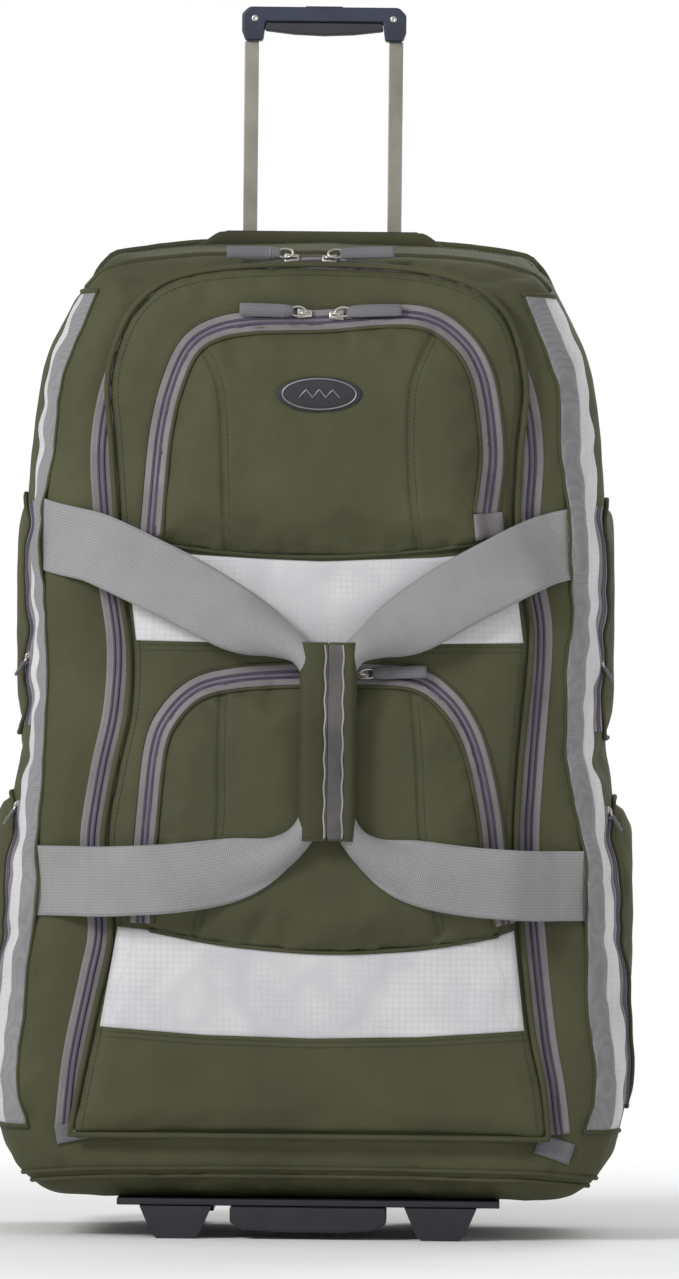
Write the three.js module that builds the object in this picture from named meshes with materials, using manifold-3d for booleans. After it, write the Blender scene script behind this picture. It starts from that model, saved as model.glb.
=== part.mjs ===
// Rolling duffel bag: a sewn fabric shell on a moulded base with two wheels,
// a telescopic pull handle at the back, and two folding carry loops at the front.
// Millimetres, +Z up, front towards -Y. The origin is under the middle of the bag,
// on the floor.

import * as THREE from "three";
import { mergeVertices } from "three/addons/utils/BufferGeometryUtils.js";
import Module from "manifold-3d";

const wasm = await Module();
wasm.setup();

// ---------------------------------------------------------------- driving dimensions

const GAP = 0.4; // between pieces that touch
const WALL = 6; // padded fabric wall of the shell

const HALF_DEPTH = 190; // the whole bag, from its middle to its front and back
const SHELL_BACK = 172;
const SHELL_FRONT = -125;
const SHELL_BOTTOM = 33.4;
const SHELL_TOP = 840; // at the back rim
const TOP_SLOPE = 0.1; // fall of the top per millimetre towards the front
const FRONT_ROUND = 40; // depth over which the front edge rounds over
const BACK_SEAM = 140; // where the back panel meets the sides
const FRONT_SEAM = -82; // where the gusset meets the sides

const ZIP_WIDTH = 18;
const ZIP_THICK = 1.4;

const FLAP_BACK = SHELL_FRONT - 3;
const FLAP_THICK = 19;
const FLAP_FRONT = FLAP_BACK - FLAP_THICK;
const POCKET_THICK = 19;
const UPPER_CORNER = [130, 571]; // lower corner of each pocket and the drop of its hem
const UPPER_BOW = 8;
const LOWER_CORNER = [140, 260];
const LOWER_BOW = 22;
const BADGE_X = 3;
const BADGE_Z = 701;
const BADGE_WIDTH = 70;
const BADGE_HEIGHT = 29;

const TUBE_X = 61.5; // each side of the middle
const TUBE_Y = 151;
const TUBE_TOP = SHELL_TOP - 5;
const TUBE_BOTTOM = 95;
const TUBE_OVERLAP = 140; // of the inner tube in the outer one
const INNER_WIDTH = 12;
const INNER_DEPTH = 9;
const TUBE_WALL = 1.5;
const HANDLE_TOP = 1037;
const HANDLE_HEIGHT = 29;
const HANDLE_HALF = 70;
const HANDLE_DEPTH = 24;
const BEZEL_TOP = 846;
const BEZEL_BOTTOM = 824;
const BEZEL_HALF = 82;
const BEZEL_FRONT = 137;
const BEZEL_BACK = 165.2;

const RUNNER_X = 110;
const RUNNER_TOP = 27;
const FOOT_FRONT = -122;
const FOOT_BACK = -60;
const FOOT_HALF = 40; // a reach past both sides of a runner
const WHEEL_RADIUS = 33.5;
const WHEEL_WIDTH = 24;
const WHEEL_Y = 152;
const AXLE_RADIUS = 4;
const AXLE_HALF = 26;
const HUB_RADIUS = 22; // where the tyre meets the hub
const HOUSING_HALF = 27;
const HOUSING_FRONT = 112;
const HOUSING_BOTTOM = 12;
const HOUSING_TOP = 75;
const SKID_BACK = 120;
const TRAY_HALF = 159;
const TRAY_FRONT = -118;
const TRAY_BACK = 108;

const WEBBING_WIDTH = 58;
const WEBBING_THICK = 2.6;
const BUNDLE_WIDTH = 14; // the folded webbing inside the grip
const BUNDLE_THICK = 9;
const GRIP_LOW = 332;
const GRIP_HIGH = 496;
const GRIP_X = 13; // middle of the grip
const GRIP_DEPTH = 22;
const GRIP_Y = -HALF_DEPTH + GRIP_DEPTH / 2;
const BUNDLE_X = 9; // each bundle, from the middle of the grip

// Half width of the shell at a height.
const SHELL_WIDTHS = [
  [SHELL_BOTTOM, 205],
  [50, 235],
  [81, 250],
  [115, 256],
  [241, 250],
  [367, 238],
  [417, 231],
  [552, 231],
  [644, 226],
  [713, 218],
  [756, 206],
  [795, 194],
  [821, 184],
];

// Half width of the front flap at a height, from its bottom to its top.
const FLAP_OUTLINE = [
  [188, 86],
  [184, 175],
  [176, 262],
  [170, 335],
  [168, 500],
  [169, 600],
  [170, 711],
  [160, 758],
  [144, 779],
  [122, 793],
  [76, 805],
  [0, 809],
];

// Middle of each front pocket's arched zip, from its lower end to its top.
const UPPER_ARCH = [
  [138, 585],
  [139, 650],
  [133, 700],
  [118, 738],
  [92, 757],
  [60, 765],
  [0, 767],
];
const LOWER_ARCH = [
  [144, 275],
  [144, 332],
  [137, 400],
  [124, 430],
  [102, 454],
  [70, 466],
  [0, 468],
];

// ---------------------------------------------------------------- materials

const material = (color, roughness, metalness = 0) =>
  new THREE.MeshStandardMaterial({ color, roughness, metalness });

const MATERIALS = {
  olive: material(0x4f513b, 0.9),
  webbing: material(0x868786, 0.85),
  tape: material(0x8c868a, 0.85),
  plastic: material(0x23262f, 0.55),
  rubber: material(0x1b1b1d, 0.85),
  tube: material(0x8f8c84, 0.35, 0.9),
  chrome: material(0xb9b9b6, 0.25, 1),
  badge: material(0x202124, 0.6),
};

const bag = new THREE.Group();

function addPiece(name, geometry, materialName) {
  const mesh = new THREE.Mesh(geometry, MATERIALS[materialName]);
  mesh.name = name;
  bag.add(mesh);
}

// ---------------------------------------------------------------- solids

function signedVolume(positions, index) {
  const a = new THREE.Vector3();
  const b = new THREE.Vector3();
  const c = new THREE.Vector3();
  let volume = 0;
  for (let i = 0; i < index.length; i += 3) {
    a.fromArray(positions, index[i] * 3);
    b.fromArray(positions, index[i + 1] * 3);
    c.fromArray(positions, index[i + 2] * 3);
    volume += a.dot(b.cross(c));
  }
  return volume;
}

function toSolid(geometry) {
  const bare = new THREE.BufferGeometry();
  const source = geometry.index ? geometry.toNonIndexed() : geometry;
  bare.setAttribute("position", source.getAttribute("position"));
  const merged = mergeVertices(bare, 1e-3);
  const triVerts = new Uint32Array(merged.index.array);
  const vertProperties = new Float32Array(merged.attributes.position.array);
  if (signedVolume(vertProperties, triVerts) < 0) triVerts.reverse();
  return new wasm.Manifold(new wasm.Mesh({ numProp: 3, vertProperties, triVerts }));
}

function toGeometry(solid) {
  const mesh = solid.getMesh();
  const geometry = new THREE.BufferGeometry();
  const positions = new THREE.BufferAttribute(new Float32Array(mesh.vertProperties), 3);
  geometry.setAttribute("position", positions);
  geometry.setIndex(new THREE.BufferAttribute(new Uint32Array(mesh.triVerts), 1));
  return geometry;
}

// A box from its lowest and highest corners.
function box(low, high) {
  const geometry = new THREE.BoxGeometry(high[0] - low[0], high[1] - low[1], high[2] - low[2]);
  const middle = low.map((value, axis) => (value + high[axis]) / 2);
  geometry.translate(...middle);
  return toSolid(geometry);
}

// A cylinder along X, between two x values.
function cylinderX(radius, x0, x1, y, z, segments = 20) {
  const geometry = new THREE.CylinderGeometry(radius, radius, x1 - x0, segments);
  geometry.rotateZ(Math.PI / 2);
  geometry.translate((x0 + x1) / 2, y, z);
  return toSolid(geometry);
}

// A prism along Y from an outline of [x, z] points.
function prismY(outline, y0, y1) {
  const shape = new THREE.Shape(outline.map(([x, z]) => new THREE.Vector2(x, z)));
  const geometry = new THREE.ExtrudeGeometry(shape, { depth: y1 - y0, bevelEnabled: false });
  geometry.rotateX(Math.PI / 2);
  geometry.translate(0, y1, 0);
  return toSolid(geometry);
}

// Triangles that fill a ring, each one turning the way the ring turns.
function cap(ring, alongY) {
  if (!alongY) return ring.slice(2).map((_, i) => [0, i + 1, i + 2]);
  const flat = ring.map((point) => new THREE.Vector2(point.x, point.z));
  const turn = Math.sign(THREE.ShapeUtils.area(flat));
  return THREE.ShapeUtils.triangulateShape(flat, []).map((face) => {
    const sameWay = THREE.ShapeUtils.area(face.map((i) => flat[i])) * turn > 0;
    return sameWay ? face : [...face].reverse();
  });
}

// A closed skin over rings of points, all rings with the same number of points.
// The two end caps are triangulated as seen along Y, or as fans.
function loft(rings, capAlongY = true) {
  const count = rings[0].length;
  const positions = rings.flat().flatMap((point) => [point.x, point.y, point.z]);
  const index = [];
  for (let ring = 0; ring + 1 < rings.length; ring += 1) {
    for (let i = 0; i < count; i += 1) {
      const next = (i + 1) % count;
      const a = ring * count + i;
      const b = ring * count + next;
      index.push(a, b, a + count, b, b + count, a + count);
    }
  }
  const end = (rings.length - 1) * count;
  for (const [a, b, c] of cap(rings[0], capAlongY)) index.push(a, c, b);
  for (const [a, b, c] of cap(rings.at(-1), capAlongY)) index.push(end + a, end + b, end + c);
  const geometry = new THREE.BufferGeometry();
  geometry.setAttribute("position", new THREE.Float32BufferAttribute(positions, 3));
  geometry.setIndex(index);
  return toSolid(geometry);
}

// ---------------------------------------------------------------- outlines

// Straight-line reading of a table of [height, value] rows.
function readTable(table, height) {
  if (height <= table[0][0]) return table[0][1];
  for (let i = 1; i < table.length; i += 1) {
    const [z0, v0] = table[i - 1];
    const [z1, v1] = table[i];
    if (height <= z1) return THREE.MathUtils.mapLinear(height, z0, z1, v0, v1);
  }
  return table.at(-1)[1];
}

// A right half [x, z] from bottom to top on the middle line, made whole.
function mirrored(half) {
  const left = half.slice(0, -1).map(([x, z]) => [-x, z]);
  return [...half, ...left.reverse()];
}

// An outline moved outwards by a distance, each point along its own normal.
function grown(outline, distance) {
  return outline.map(([x, z], i) => {
    const [xa, za] = outline.at(i - 1);
    const [xb, zb] = outline[(i + 1) % outline.length];
    const length = Math.hypot(xb - xa, zb - za);
    return [x + ((zb - za) / length) * distance, z - ((xb - xa) / length) * distance];
  });
}

// ---------------------------------------------------------------- shell

// Outline of the bag seen from the front, anticlockwise from the bottom middle.
function shellOutline() {
  const right = SHELL_WIDTHS.map(([z, x]) => [x, z]);
  const dome = [
    [170, 829],
    [120, 836],
    [60, 839],
    [0, SHELL_TOP],
  ];
  return mirrored([[110, SHELL_BOTTOM], ...right, ...dome]);
}

// One slice of the shell at a depth: pulled in by an inset, fatter by a margin.
function shellSlice(y, inset, margin) {
  const middle = (SHELL_TOP + SHELL_BOTTOM) / 2;
  const topFade = [[740, 0], [830, 1]];
  const bottomFade = [[SHELL_BOTTOM, 1], [130, 0]];
  return shellOutline().map(([x, z]) => {
    const slope = readTable(topFade, z) * TOP_SLOPE * (SHELL_BACK - y);
    const topInset = readTable(topFade, z) * inset * 0.3;
    const bottomInset = readTable(bottomFade, z) * inset * 0.9;
    const side = Math.min(1, Math.abs(x) / 120) * Math.sign(x);
    const newX = x - side * (inset - margin);
    const newZ = z - slope - topInset + bottomInset + Math.sign(z - middle) * margin;
    const keepsHeight = z > 60 && z < 815;
    return new THREE.Vector3(newX, y, keepsHeight ? z - slope - topInset + bottomInset : newZ);
  });
}

// The whole outside of the bag, fatter by a margin, or thinner if it is negative.
function shellSolid(margin) {
  const rings = [];
  rings.push(shellSlice(SHELL_BACK + margin, 8, margin));
  rings.push(shellSlice(SHELL_BACK - 8, 0, margin));
  rings.push(shellSlice(40, 0, margin));
  const bend = FRONT_ROUND;
  for (const degrees of [0, 30, 55, 75, 90]) {
    const angle = THREE.MathUtils.degToRad(degrees);
    const y = SHELL_FRONT + bend - Math.sin(angle) * (bend + margin);
    rings.push(shellSlice(y, (1 - Math.cos(angle)) * bend, margin));
  }
  return loft(rings);
}

const solidShell = shellSolid(0);
const shellWalls = solidShell.subtract(shellSolid(-WALL));
const shellClearance = shellSolid(GAP);

const FAR = 600;
const TOP_SEAM = 780;
const BASE_SEAM = 86;
const BOOT_SEAM = 102; // on the front, under the flap
const half = GAP / 2;

// What the hard parts at the bottom and the top take out of the fabric.
function hardwareClearance() {
  let cut = bezelBlock(GAP);
  for (const side of [-1, 1]) cut = cut.add(wheelHousingBlock(side, GAP));
  return cut;
}

function bezelBlock(margin) {
  return box(
    [-BEZEL_HALF - margin, BEZEL_FRONT - margin, BEZEL_BOTTOM - margin],
    [BEZEL_HALF + margin, BEZEL_BACK + margin, BEZEL_TOP + margin],
  );
}

function wheelHousingBlock(side, margin) {
  const x = side * RUNNER_X;
  const reach = HOUSING_HALF + margin;
  const low = [x - reach, HOUSING_FRONT - margin, HOUSING_BOTTOM - margin];
  const high = [x + reach, HALF_DEPTH + margin, HOUSING_TOP + margin];
  return box(low, high);
}

function addShell() {
  const cut = hardwareClearance();
  const walls = shellWalls.subtract(cut);
  const flapHole = prismY(grown(mirrored(FLAP_OUTLINE), -14), -FAR, FRONT_SEAM);
  const back = box([-FAR, BACK_SEAM + half, 0], [FAR, FAR, FAR * 2]);
  addPiece("back_panel", toGeometry(walls.intersect(back)), "olive");
  const ring = walls.intersect(box([-FAR, FRONT_SEAM + half, 0], [FAR, BACK_SEAM - half, FAR * 2]));
  const front = walls
    .intersect(box([-FAR, -FAR, 0], [FAR, FRONT_SEAM - half, FAR * 2]))
    .subtract(flapHole);
  const upper = box([-FAR, -FAR, TOP_SEAM + half], [FAR, FAR, FAR * 2]);
  const between = (x0, x1, low) => box([x0, -FAR, low + half], [x1, FAR, TOP_SEAM - half]);
  const below = (high) => box([-FAR, -FAR, 0], [FAR, FAR, high - half]);
  addPiece("top_panel", toGeometry(ring.intersect(upper)), "olive");
  addPiece("left_side_panel", toGeometry(ring.intersect(between(-FAR, 0, BASE_SEAM))), "olive");
  addPiece("right_side_panel", toGeometry(ring.intersect(between(0, FAR, BASE_SEAM))), "olive");
  addPiece("base_panel", toGeometry(ring.intersect(below(BASE_SEAM))), "olive");
  addPiece("top_gusset", toGeometry(front.intersect(upper)), "olive");
  addPiece("left_gusset", toGeometry(front.intersect(between(-FAR, 0, BOOT_SEAM))), "olive");
  addPiece("right_gusset", toGeometry(front.intersect(between(0, FAR, BOOT_SEAM))), "olive");
  addPiece("front_boot", toGeometry(front.intersect(below(BOOT_SEAM))), "olive");
}

// ---------------------------------------------------------------- flap and pockets

// An outline shrunk towards the middle of its own box by a distance at its sides.
function shrunk(outline, distance) {
  const xs = outline.map(([x]) => x);
  const zs = outline.map(([, z]) => z);
  const middleX = (Math.min(...xs) + Math.max(...xs)) / 2;
  const middleZ = (Math.min(...zs) + Math.max(...zs)) / 2;
  const scaleX = 1 - distance / (Math.max(...xs) - middleX);
  const scaleZ = 1 - distance / (Math.max(...zs) - middleZ);
  return outline.map(([x, z]) => [middleX + (x - middleX) * scaleX, middleZ + (z - middleZ) * scaleZ]);
}

// A crowned pad on a flat back, its front pulled in towards its edges.
function crownedPad(outline, yBack, thickness) {
  const steps = [
    [0, 0],
    [0.55, 0],
    [0.82, 4],
    [0.95, 13],
    [1, 20],
  ];
  const rings = steps.map(([share, inset]) =>
    shrunk(outline, inset).map(([x, z]) => new THREE.Vector3(x, yBack - share * thickness, z)),
  );
  return loft(rings);
}

// An arch closed below by a shallow downward bow.
function pocketOutline(arch, corner, bow) {
  const whole = mirrored(arch);
  const below = [
    [-corner[0] * 0.5, corner[1] - bow * 0.75],
    [0, corner[1] - bow],
    [corner[0] * 0.5, corner[1] - bow * 0.75],
  ];
  return [[corner[0], corner[1]], ...whole, [-corner[0], corner[1]], ...below];
}

function addFlapAndPockets() {
  const flap = crownedPad(mirrored(FLAP_OUTLINE), FLAP_BACK, FLAP_THICK);
  addPiece("front_flap", toGeometry(flap), "olive");
  const upper = shrunk(pocketOutline(UPPER_ARCH, UPPER_CORNER, UPPER_BOW), ZIP_WIDTH / 2 + GAP);
  const lower = shrunk(pocketOutline(LOWER_ARCH, LOWER_CORNER, LOWER_BOW), ZIP_WIDTH / 2 + GAP);
  const back = FLAP_FRONT - GAP;
  addPiece("upper_pocket", toGeometry(crownedPad(upper, back, POCKET_THICK)), "olive");
  addPiece("lower_pocket", toGeometry(crownedPad(lower, back, POCKET_THICK)), "olive");
  addPiece("badge", toGeometry(badge(back - POCKET_THICK - GAP)), "badge");
}

// An oval badge on the upper pocket.
function badge(yBack) {
  const oval = (width, height) =>
    Array.from({ length: 24 }, (_, i) => {
      const angle = (i / 24) * Math.PI * 2;
      const x = BADGE_X + (Math.cos(angle) * width) / 2;
      return [x, BADGE_Z + (Math.sin(angle) * height) / 2];
    });
  const ring = (outline, y) => outline.map(([x, z]) => new THREE.Vector3(x, y, z));
  const face = oval(BADGE_WIDTH, BADGE_HEIGHT);
  const bevelled = oval(BADGE_WIDTH - 4, BADGE_HEIGHT - 4);
  return loft([ring(face, yBack), ring(face, yBack - 2), ring(bevelled, yBack - 3)]);
}

// ---------------------------------------------------------------- zips

// A flat tape in the plane of the front, along a line of [x, z] points.
function flatTape(line, yBack) {
  const side = (distance) => {
    return line.map(([x, z], i) => {
      const [xa, za] = line[Math.max(0, i - 1)];
      const [xb, zb] = line[Math.min(line.length - 1, i + 1)];
      const length = Math.hypot(xb - xa, zb - za);
      return [x + ((zb - za) / length) * distance, z - ((xb - xa) / length) * distance];
    });
  };
  const outline = [...side(ZIP_WIDTH / 2), ...side(-ZIP_WIDTH / 2).reverse()];
  return prismY(outline, yBack - ZIP_THICK, yBack);
}

// A strip of tape that hugs the shell, cut out by a block.
function huggingTape(block) {
  return shellSolid(GAP + ZIP_THICK).subtract(shellClearance).intersect(block);
}

function addZips() {
  const flap = mirrored(FLAP_OUTLINE);
  const outer = prismY(grown(flap, ZIP_WIDTH + 1), -FAR, -104);
  const inner = prismY(grown(flap, 1), -FAR, -100);
  const aboveHem = box([-FAR, -FAR, FLAP_OUTLINE[0][1] + 4], [FAR, FAR, FAR * 2]);
  const main = huggingTape(outer.subtract(inner).intersect(aboveHem));
  addPiece("main_zip", toGeometry(main), "tape");
  const onFlap = FLAP_FRONT - GAP;
  addPiece("upper_pocket_zip", toGeometry(flatTape(mirrored(UPPER_ARCH), onFlap)), "tape");
  addPiece("lower_pocket_zip", toGeometry(flatTape(mirrored(LOWER_ARCH), onFlap)), "tape");
}

// ---------------------------------------------------------------- zip sliders and pulls

const PULL_LENGTH = 54;
const PULL_HEIGHT = 12;

// The sliders of the front zips: middle of each slider and the way its pull lies.
const FRONT_SLIDERS = [
  ["main_left", -22, -117, 818, -1],
  ["main_right", 10, -117, 818, 1],
  ["upper_left", -10, FLAP_FRONT - 5, 768, -1],
  ["upper_right", 16, FLAP_FRONT - 5, 769, 1],
  ["lower", 40, FLAP_FRONT - 5, 469, 1],
];

// A slider body with a raised bridge, 12 wide, 8 high and 5 deep.
function sliderBody(x, y, z) {
  const body = box([x - 6, y, z - 4], [x + 6, y + 2.8, z + 4]);
  const bridge = box([x - 4, y - 2.5, z - 1.5], [x + 4, y + 0.1, z + 1.5]);
  return body.add(bridge);
}

// A metal ring and a webbing tab, lying along X from the slider's bridge.
function pullTab(x, y, z, way) {
  const start = way * 5;
  const outline = [
    [start, -2],
    [start + way * 5, -4],
    [start + way * 13, -4],
    [start + way * 15, -PULL_HEIGHT / 2],
    [way * PULL_LENGTH, -PULL_HEIGHT / 2],
    [way * PULL_LENGTH, PULL_HEIGHT / 2],
    [start + way * 15, PULL_HEIGHT / 2],
    [start + way * 13, 4],
    [start + way * 5, 4],
    [start, 2],
  ].map(([dx, dz]) => [x + dx, z + dz]);
  return prismY(outline, y - 3.2, y - 0.4);
}

function addFrontSliders() {
  for (const [name, x, y, z, way] of FRONT_SLIDERS) {
    addPiece(`${name}_slider`, toGeometry(sliderBody(x, y, z)), "chrome");
    addPiece(`${name}_pull`, toGeometry(pullTab(x, y, z + 3, way)), "webbing");
  }
}

// ---------------------------------------------------------------- side pockets

// Name, lowest, highest, how far it stands out, and its slider's height.
const SIDE_POCKETS = [
  ["upper", 418, 618, 246, 480],
  ["lower", 108, 368, 264, 356],
];
const SIDE_FRONT = -58;
const SIDE_BACK = 122;
const PAD_DEPTH = 30; // of the pillow before it is cut to the shell

// A pillow on the side panel, cut to the shell behind it.
function sidePocket(side, low, high, reach) {
  const bevel = 22;
  const across = [
    [SIDE_FRONT, low + bevel],
    [SIDE_FRONT + bevel, low],
    [SIDE_BACK - bevel, low],
    [SIDE_BACK, low + bevel],
    [SIDE_BACK, high - bevel],
    [SIDE_BACK - bevel, high],
    [SIDE_FRONT + bevel, high],
    [SIDE_FRONT, high - bevel],
  ];
  const pad = crownedPad(across, 0, PAD_DEPTH);
  const lean = ([x, y, z]) => [side * (reach - PAD_DEPTH - y), x, z];
  const mesh = pad.getMesh();
  const positions = [];
  for (let i = 0; i < mesh.numVert; i += 1) {
    positions.push(...lean(mesh.vertProperties.subarray(i * 3, i * 3 + 3)));
  }
  const geometry = new THREE.BufferGeometry();
  geometry.setAttribute("position", new THREE.Float32BufferAttribute(positions, 3));
  geometry.setIndex(Array.from(mesh.triVerts));
  return toSolid(geometry).subtract(shellClearance);
}

// The slider of a side pocket with its pull, standing off the side.
function sideSlider(side, z) {
  const x = readTable(SHELL_WIDTHS, z) + GAP + ZIP_THICK + 1.6;
  const y = SIDE_FRONT - ZIP_WIDTH / 2 - 1;
  const span = (x0, x1) => [Math.min(side * x0, side * x1), Math.max(side * x0, side * x1)];
  const [b0, b1] = span(x, x + 4);
  const [t0, t1] = span(x + 3, x + 15);
  const body = box([b0, y - 4, z - 6], [b1, y + 4, z + 6]);
  const tab = box([t0, y - 1.5, z - 5], [t1, y + 1.5, z + 5]);
  return body.add(tab);
}

function addSidePockets() {
  for (const [sideName, side] of [["left", -1], ["right", 1]]) {
    for (const [name, low, high, reach, sliderZ] of SIDE_POCKETS) {
      const piece = `${sideName}_${name}_side`;
      addPiece(`${piece}_pocket`, toGeometry(sidePocket(side, low, high, reach)), "olive");
      const [x0, x1] = side > 0 ? [150, FAR] : [-FAR, -150];
      const strip = box([x0, SIDE_FRONT - 1 - ZIP_WIDTH, low + 6], [x1, SIDE_FRONT - 1, high - 6]);
      addPiece(`${piece}_zip`, toGeometry(huggingTape(strip)), "tape");
      addPiece(`${piece}_slider`, toGeometry(sideSlider(side, sliderZ)), "chrome");
    }
  }
}

// ---------------------------------------------------------------- carry loops

// Half of a loop, from its seam on the gusset to the grip: how far along it is from
// the seam to the grip (0 to 1), its height, its depth and its width.
const UPPER_RUN = [
  [0, 583, -94, WEBBING_WIDTH],
  [0.04, 582, -112, WEBBING_WIDTH],
  [0.12, 577, -131, WEBBING_WIDTH],
  [0.22, 568, -146, WEBBING_WIDTH],
  [0.36, 556, -156, WEBBING_WIDTH],
  [0.54, 540, -160, WEBBING_WIDTH],
  [0.72, 523, -163, 50],
  [0.87, 515, -168, 34],
  [0.965, 508, -175, 20],
];
const LOWER_RUN = [
  [0.965, 320, -176, 20],
  [0.87, 309, -174, 34],
  [0.72, 301, -173, 50],
  [0.54, 298, -171, WEBBING_WIDTH],
  [0.36, 297, -168, WEBBING_WIDTH],
  [0.22, 296, -156, WEBBING_WIDTH],
  [0.12, 296, -139, WEBBING_WIDTH],
  [0.04, 296, -119, WEBBING_WIDTH],
  [0, 295, -97, WEBBING_WIDTH],
];

// A band along points that carry their own width and thickness. Its width lies across
// the line in the plane of the front, and its thickness lies across both.
function band(points) {
  const rings = points.map((point, i) => {
    const before = points[Math.max(0, i - 1)];
    const after = points[Math.min(points.length - 1, i + 1)];
    const along = after.at.clone().sub(before.at).normalize();
    const across = new THREE.Vector3(-along.z, 0, along.x).normalize();
    const out = new THREE.Vector3().crossVectors(along, across).normalize();
    const corner = (a, b) =>
      point.at
        .clone()
        .addScaledVector(across, (a * point.width) / 2)
        .addScaledVector(out, (b * point.thick) / 2);
    return [corner(-1, -1), corner(1, -1), corner(1, 1), corner(-1, 1)];
  });
  return loft(rings, false);
}

function carryLoop(side) {
  const gripX = GRIP_X + side * BUNDLE_X;
  const place = ([share, z, y, width]) => {
    const seamX = side * (readTable(SHELL_WIDTHS, z) + 1.5);
    const at = new THREE.Vector3(THREE.MathUtils.lerp(seamX, gripX, share), y, z);
    const narrow = (WEBBING_WIDTH - width) / (WEBBING_WIDTH - BUNDLE_WIDTH);
    const thick = THREE.MathUtils.lerp(WEBBING_THICK, BUNDLE_THICK, narrow);
    return { at, width, thick };
  };
  const grip = [GRIP_HIGH + 4, (GRIP_HIGH + GRIP_LOW) / 2, GRIP_LOW - 4].map((z) => ({
    at: new THREE.Vector3(gripX, GRIP_Y, z),
    width: BUNDLE_WIDTH,
    thick: BUNDLE_THICK,
  }));
  const solid = band([...UPPER_RUN.map(place), ...grip, ...LOWER_RUN.map(place)]);
  return solid.subtract(shellSolid(GAP + 0.4));
}

// One half of the padded wrap around a bundle, open towards the other half.
function gripHalf(side) {
  const outer = { x: 23.4, y: GRIP_DEPTH };
  const inner = { x: BUNDLE_WIDTH + 3, y: BUNDLE_THICK + 4 };
  const seam = GRIP_X + side * (GAP / 2);
  const outside = roundedBlock(seam, seam + side * outer.x, outer.y, GRIP_LOW, GRIP_HIGH);
  const [x0, x1] = [seam - side, seam + side * inner.x].sort((a, b) => a - b);
  const hollow = box([x0, GRIP_Y - inner.y / 2, 0], [x1, GRIP_Y + inner.y / 2, FAR * 2]);
  return outside.subtract(hollow);
}

// A block whose outer edge is rounded, seen from above.
function roundedBlock(seamX, outerX, depth, low, high) {
  const radius = depth / 2;
  const way = Math.sign(outerX - seamX);
  const shape = new THREE.Shape();
  const middleX = outerX - way * radius;
  shape.moveTo(seamX, -radius);
  const steps = 8;
  for (let i = 0; i <= steps; i += 1) {
    const angle = -Math.PI / 2 + (i / steps) * Math.PI;
    shape.lineTo(middleX + way * Math.cos(angle) * radius, Math.sin(angle) * radius);
  }
  shape.lineTo(seamX, radius);
  const geometry = new THREE.ExtrudeGeometry(shape, { depth: high - low, bevelEnabled: false });
  geometry.translate(0, GRIP_Y, low);
  return toSolid(geometry);
}

function addCarryLoops() {
  addPiece("left_carry_loop", toGeometry(carryLoop(-1)), "webbing");
  addPiece("right_carry_loop", toGeometry(carryLoop(1)), "webbing");
  addPiece("left_grip_wrap", toGeometry(gripHalf(-1)), "olive");
  addPiece("right_grip_wrap", toGeometry(gripHalf(1)), "olive");
}

// ---------------------------------------------------------------- pull handle

function tube(x, width, depth, wall, low, high) {
  const outside = box([x - width / 2, TUBE_Y - depth / 2, low], [x + width / 2, TUBE_Y + depth / 2, high]);
  const bore = box(
    [x - width / 2 + wall, TUBE_Y - depth / 2 + wall, low - 1],
    [x + width / 2 - wall, TUBE_Y + depth / 2 - wall, high + 1],
  );
  return outside.subtract(bore);
}

function addPullHandle() {
  const handleLow = HANDLE_TOP - HANDLE_HEIGHT;
  const outerWidth = INNER_WIDTH + 2 * TUBE_WALL + 1;
  const outerDepth = INNER_DEPTH + 2 * TUBE_WALL + 1;
  let bezel = bezelBlock(0).intersect(box([-FAR, 0, TUBE_TOP + GAP], [FAR, FAR, BEZEL_TOP]));
  for (const [name, side] of [["left", -1], ["right", 1]]) {
    const x = side * TUBE_X;
    const outer = tube(x, outerWidth, outerDepth, TUBE_WALL, TUBE_BOTTOM, TUBE_TOP);
    addPiece(`${name}_outer_tube`, toGeometry(outer), "tube");
    const innerLow = TUBE_TOP - TUBE_OVERLAP;
    const inner = tube(x, INNER_WIDTH, INNER_DEPTH, TUBE_WALL, innerLow, handleLow - GAP);
    addPiece(`${name}_inner_tube`, toGeometry(inner), "tube");
    const passage = box(
      [x - INNER_WIDTH / 2 - 0.5, TUBE_Y - INNER_DEPTH / 2 - 0.5, 0],
      [x + INNER_WIDTH / 2 + 0.5, TUBE_Y + INNER_DEPTH / 2 + 0.5, FAR * 2],
    );
    bezel = bezel.subtract(passage);
  }
  addPiece("tube_bezel", toGeometry(bezel), "plastic");
  addHandleHead(handleLow);
}

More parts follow.
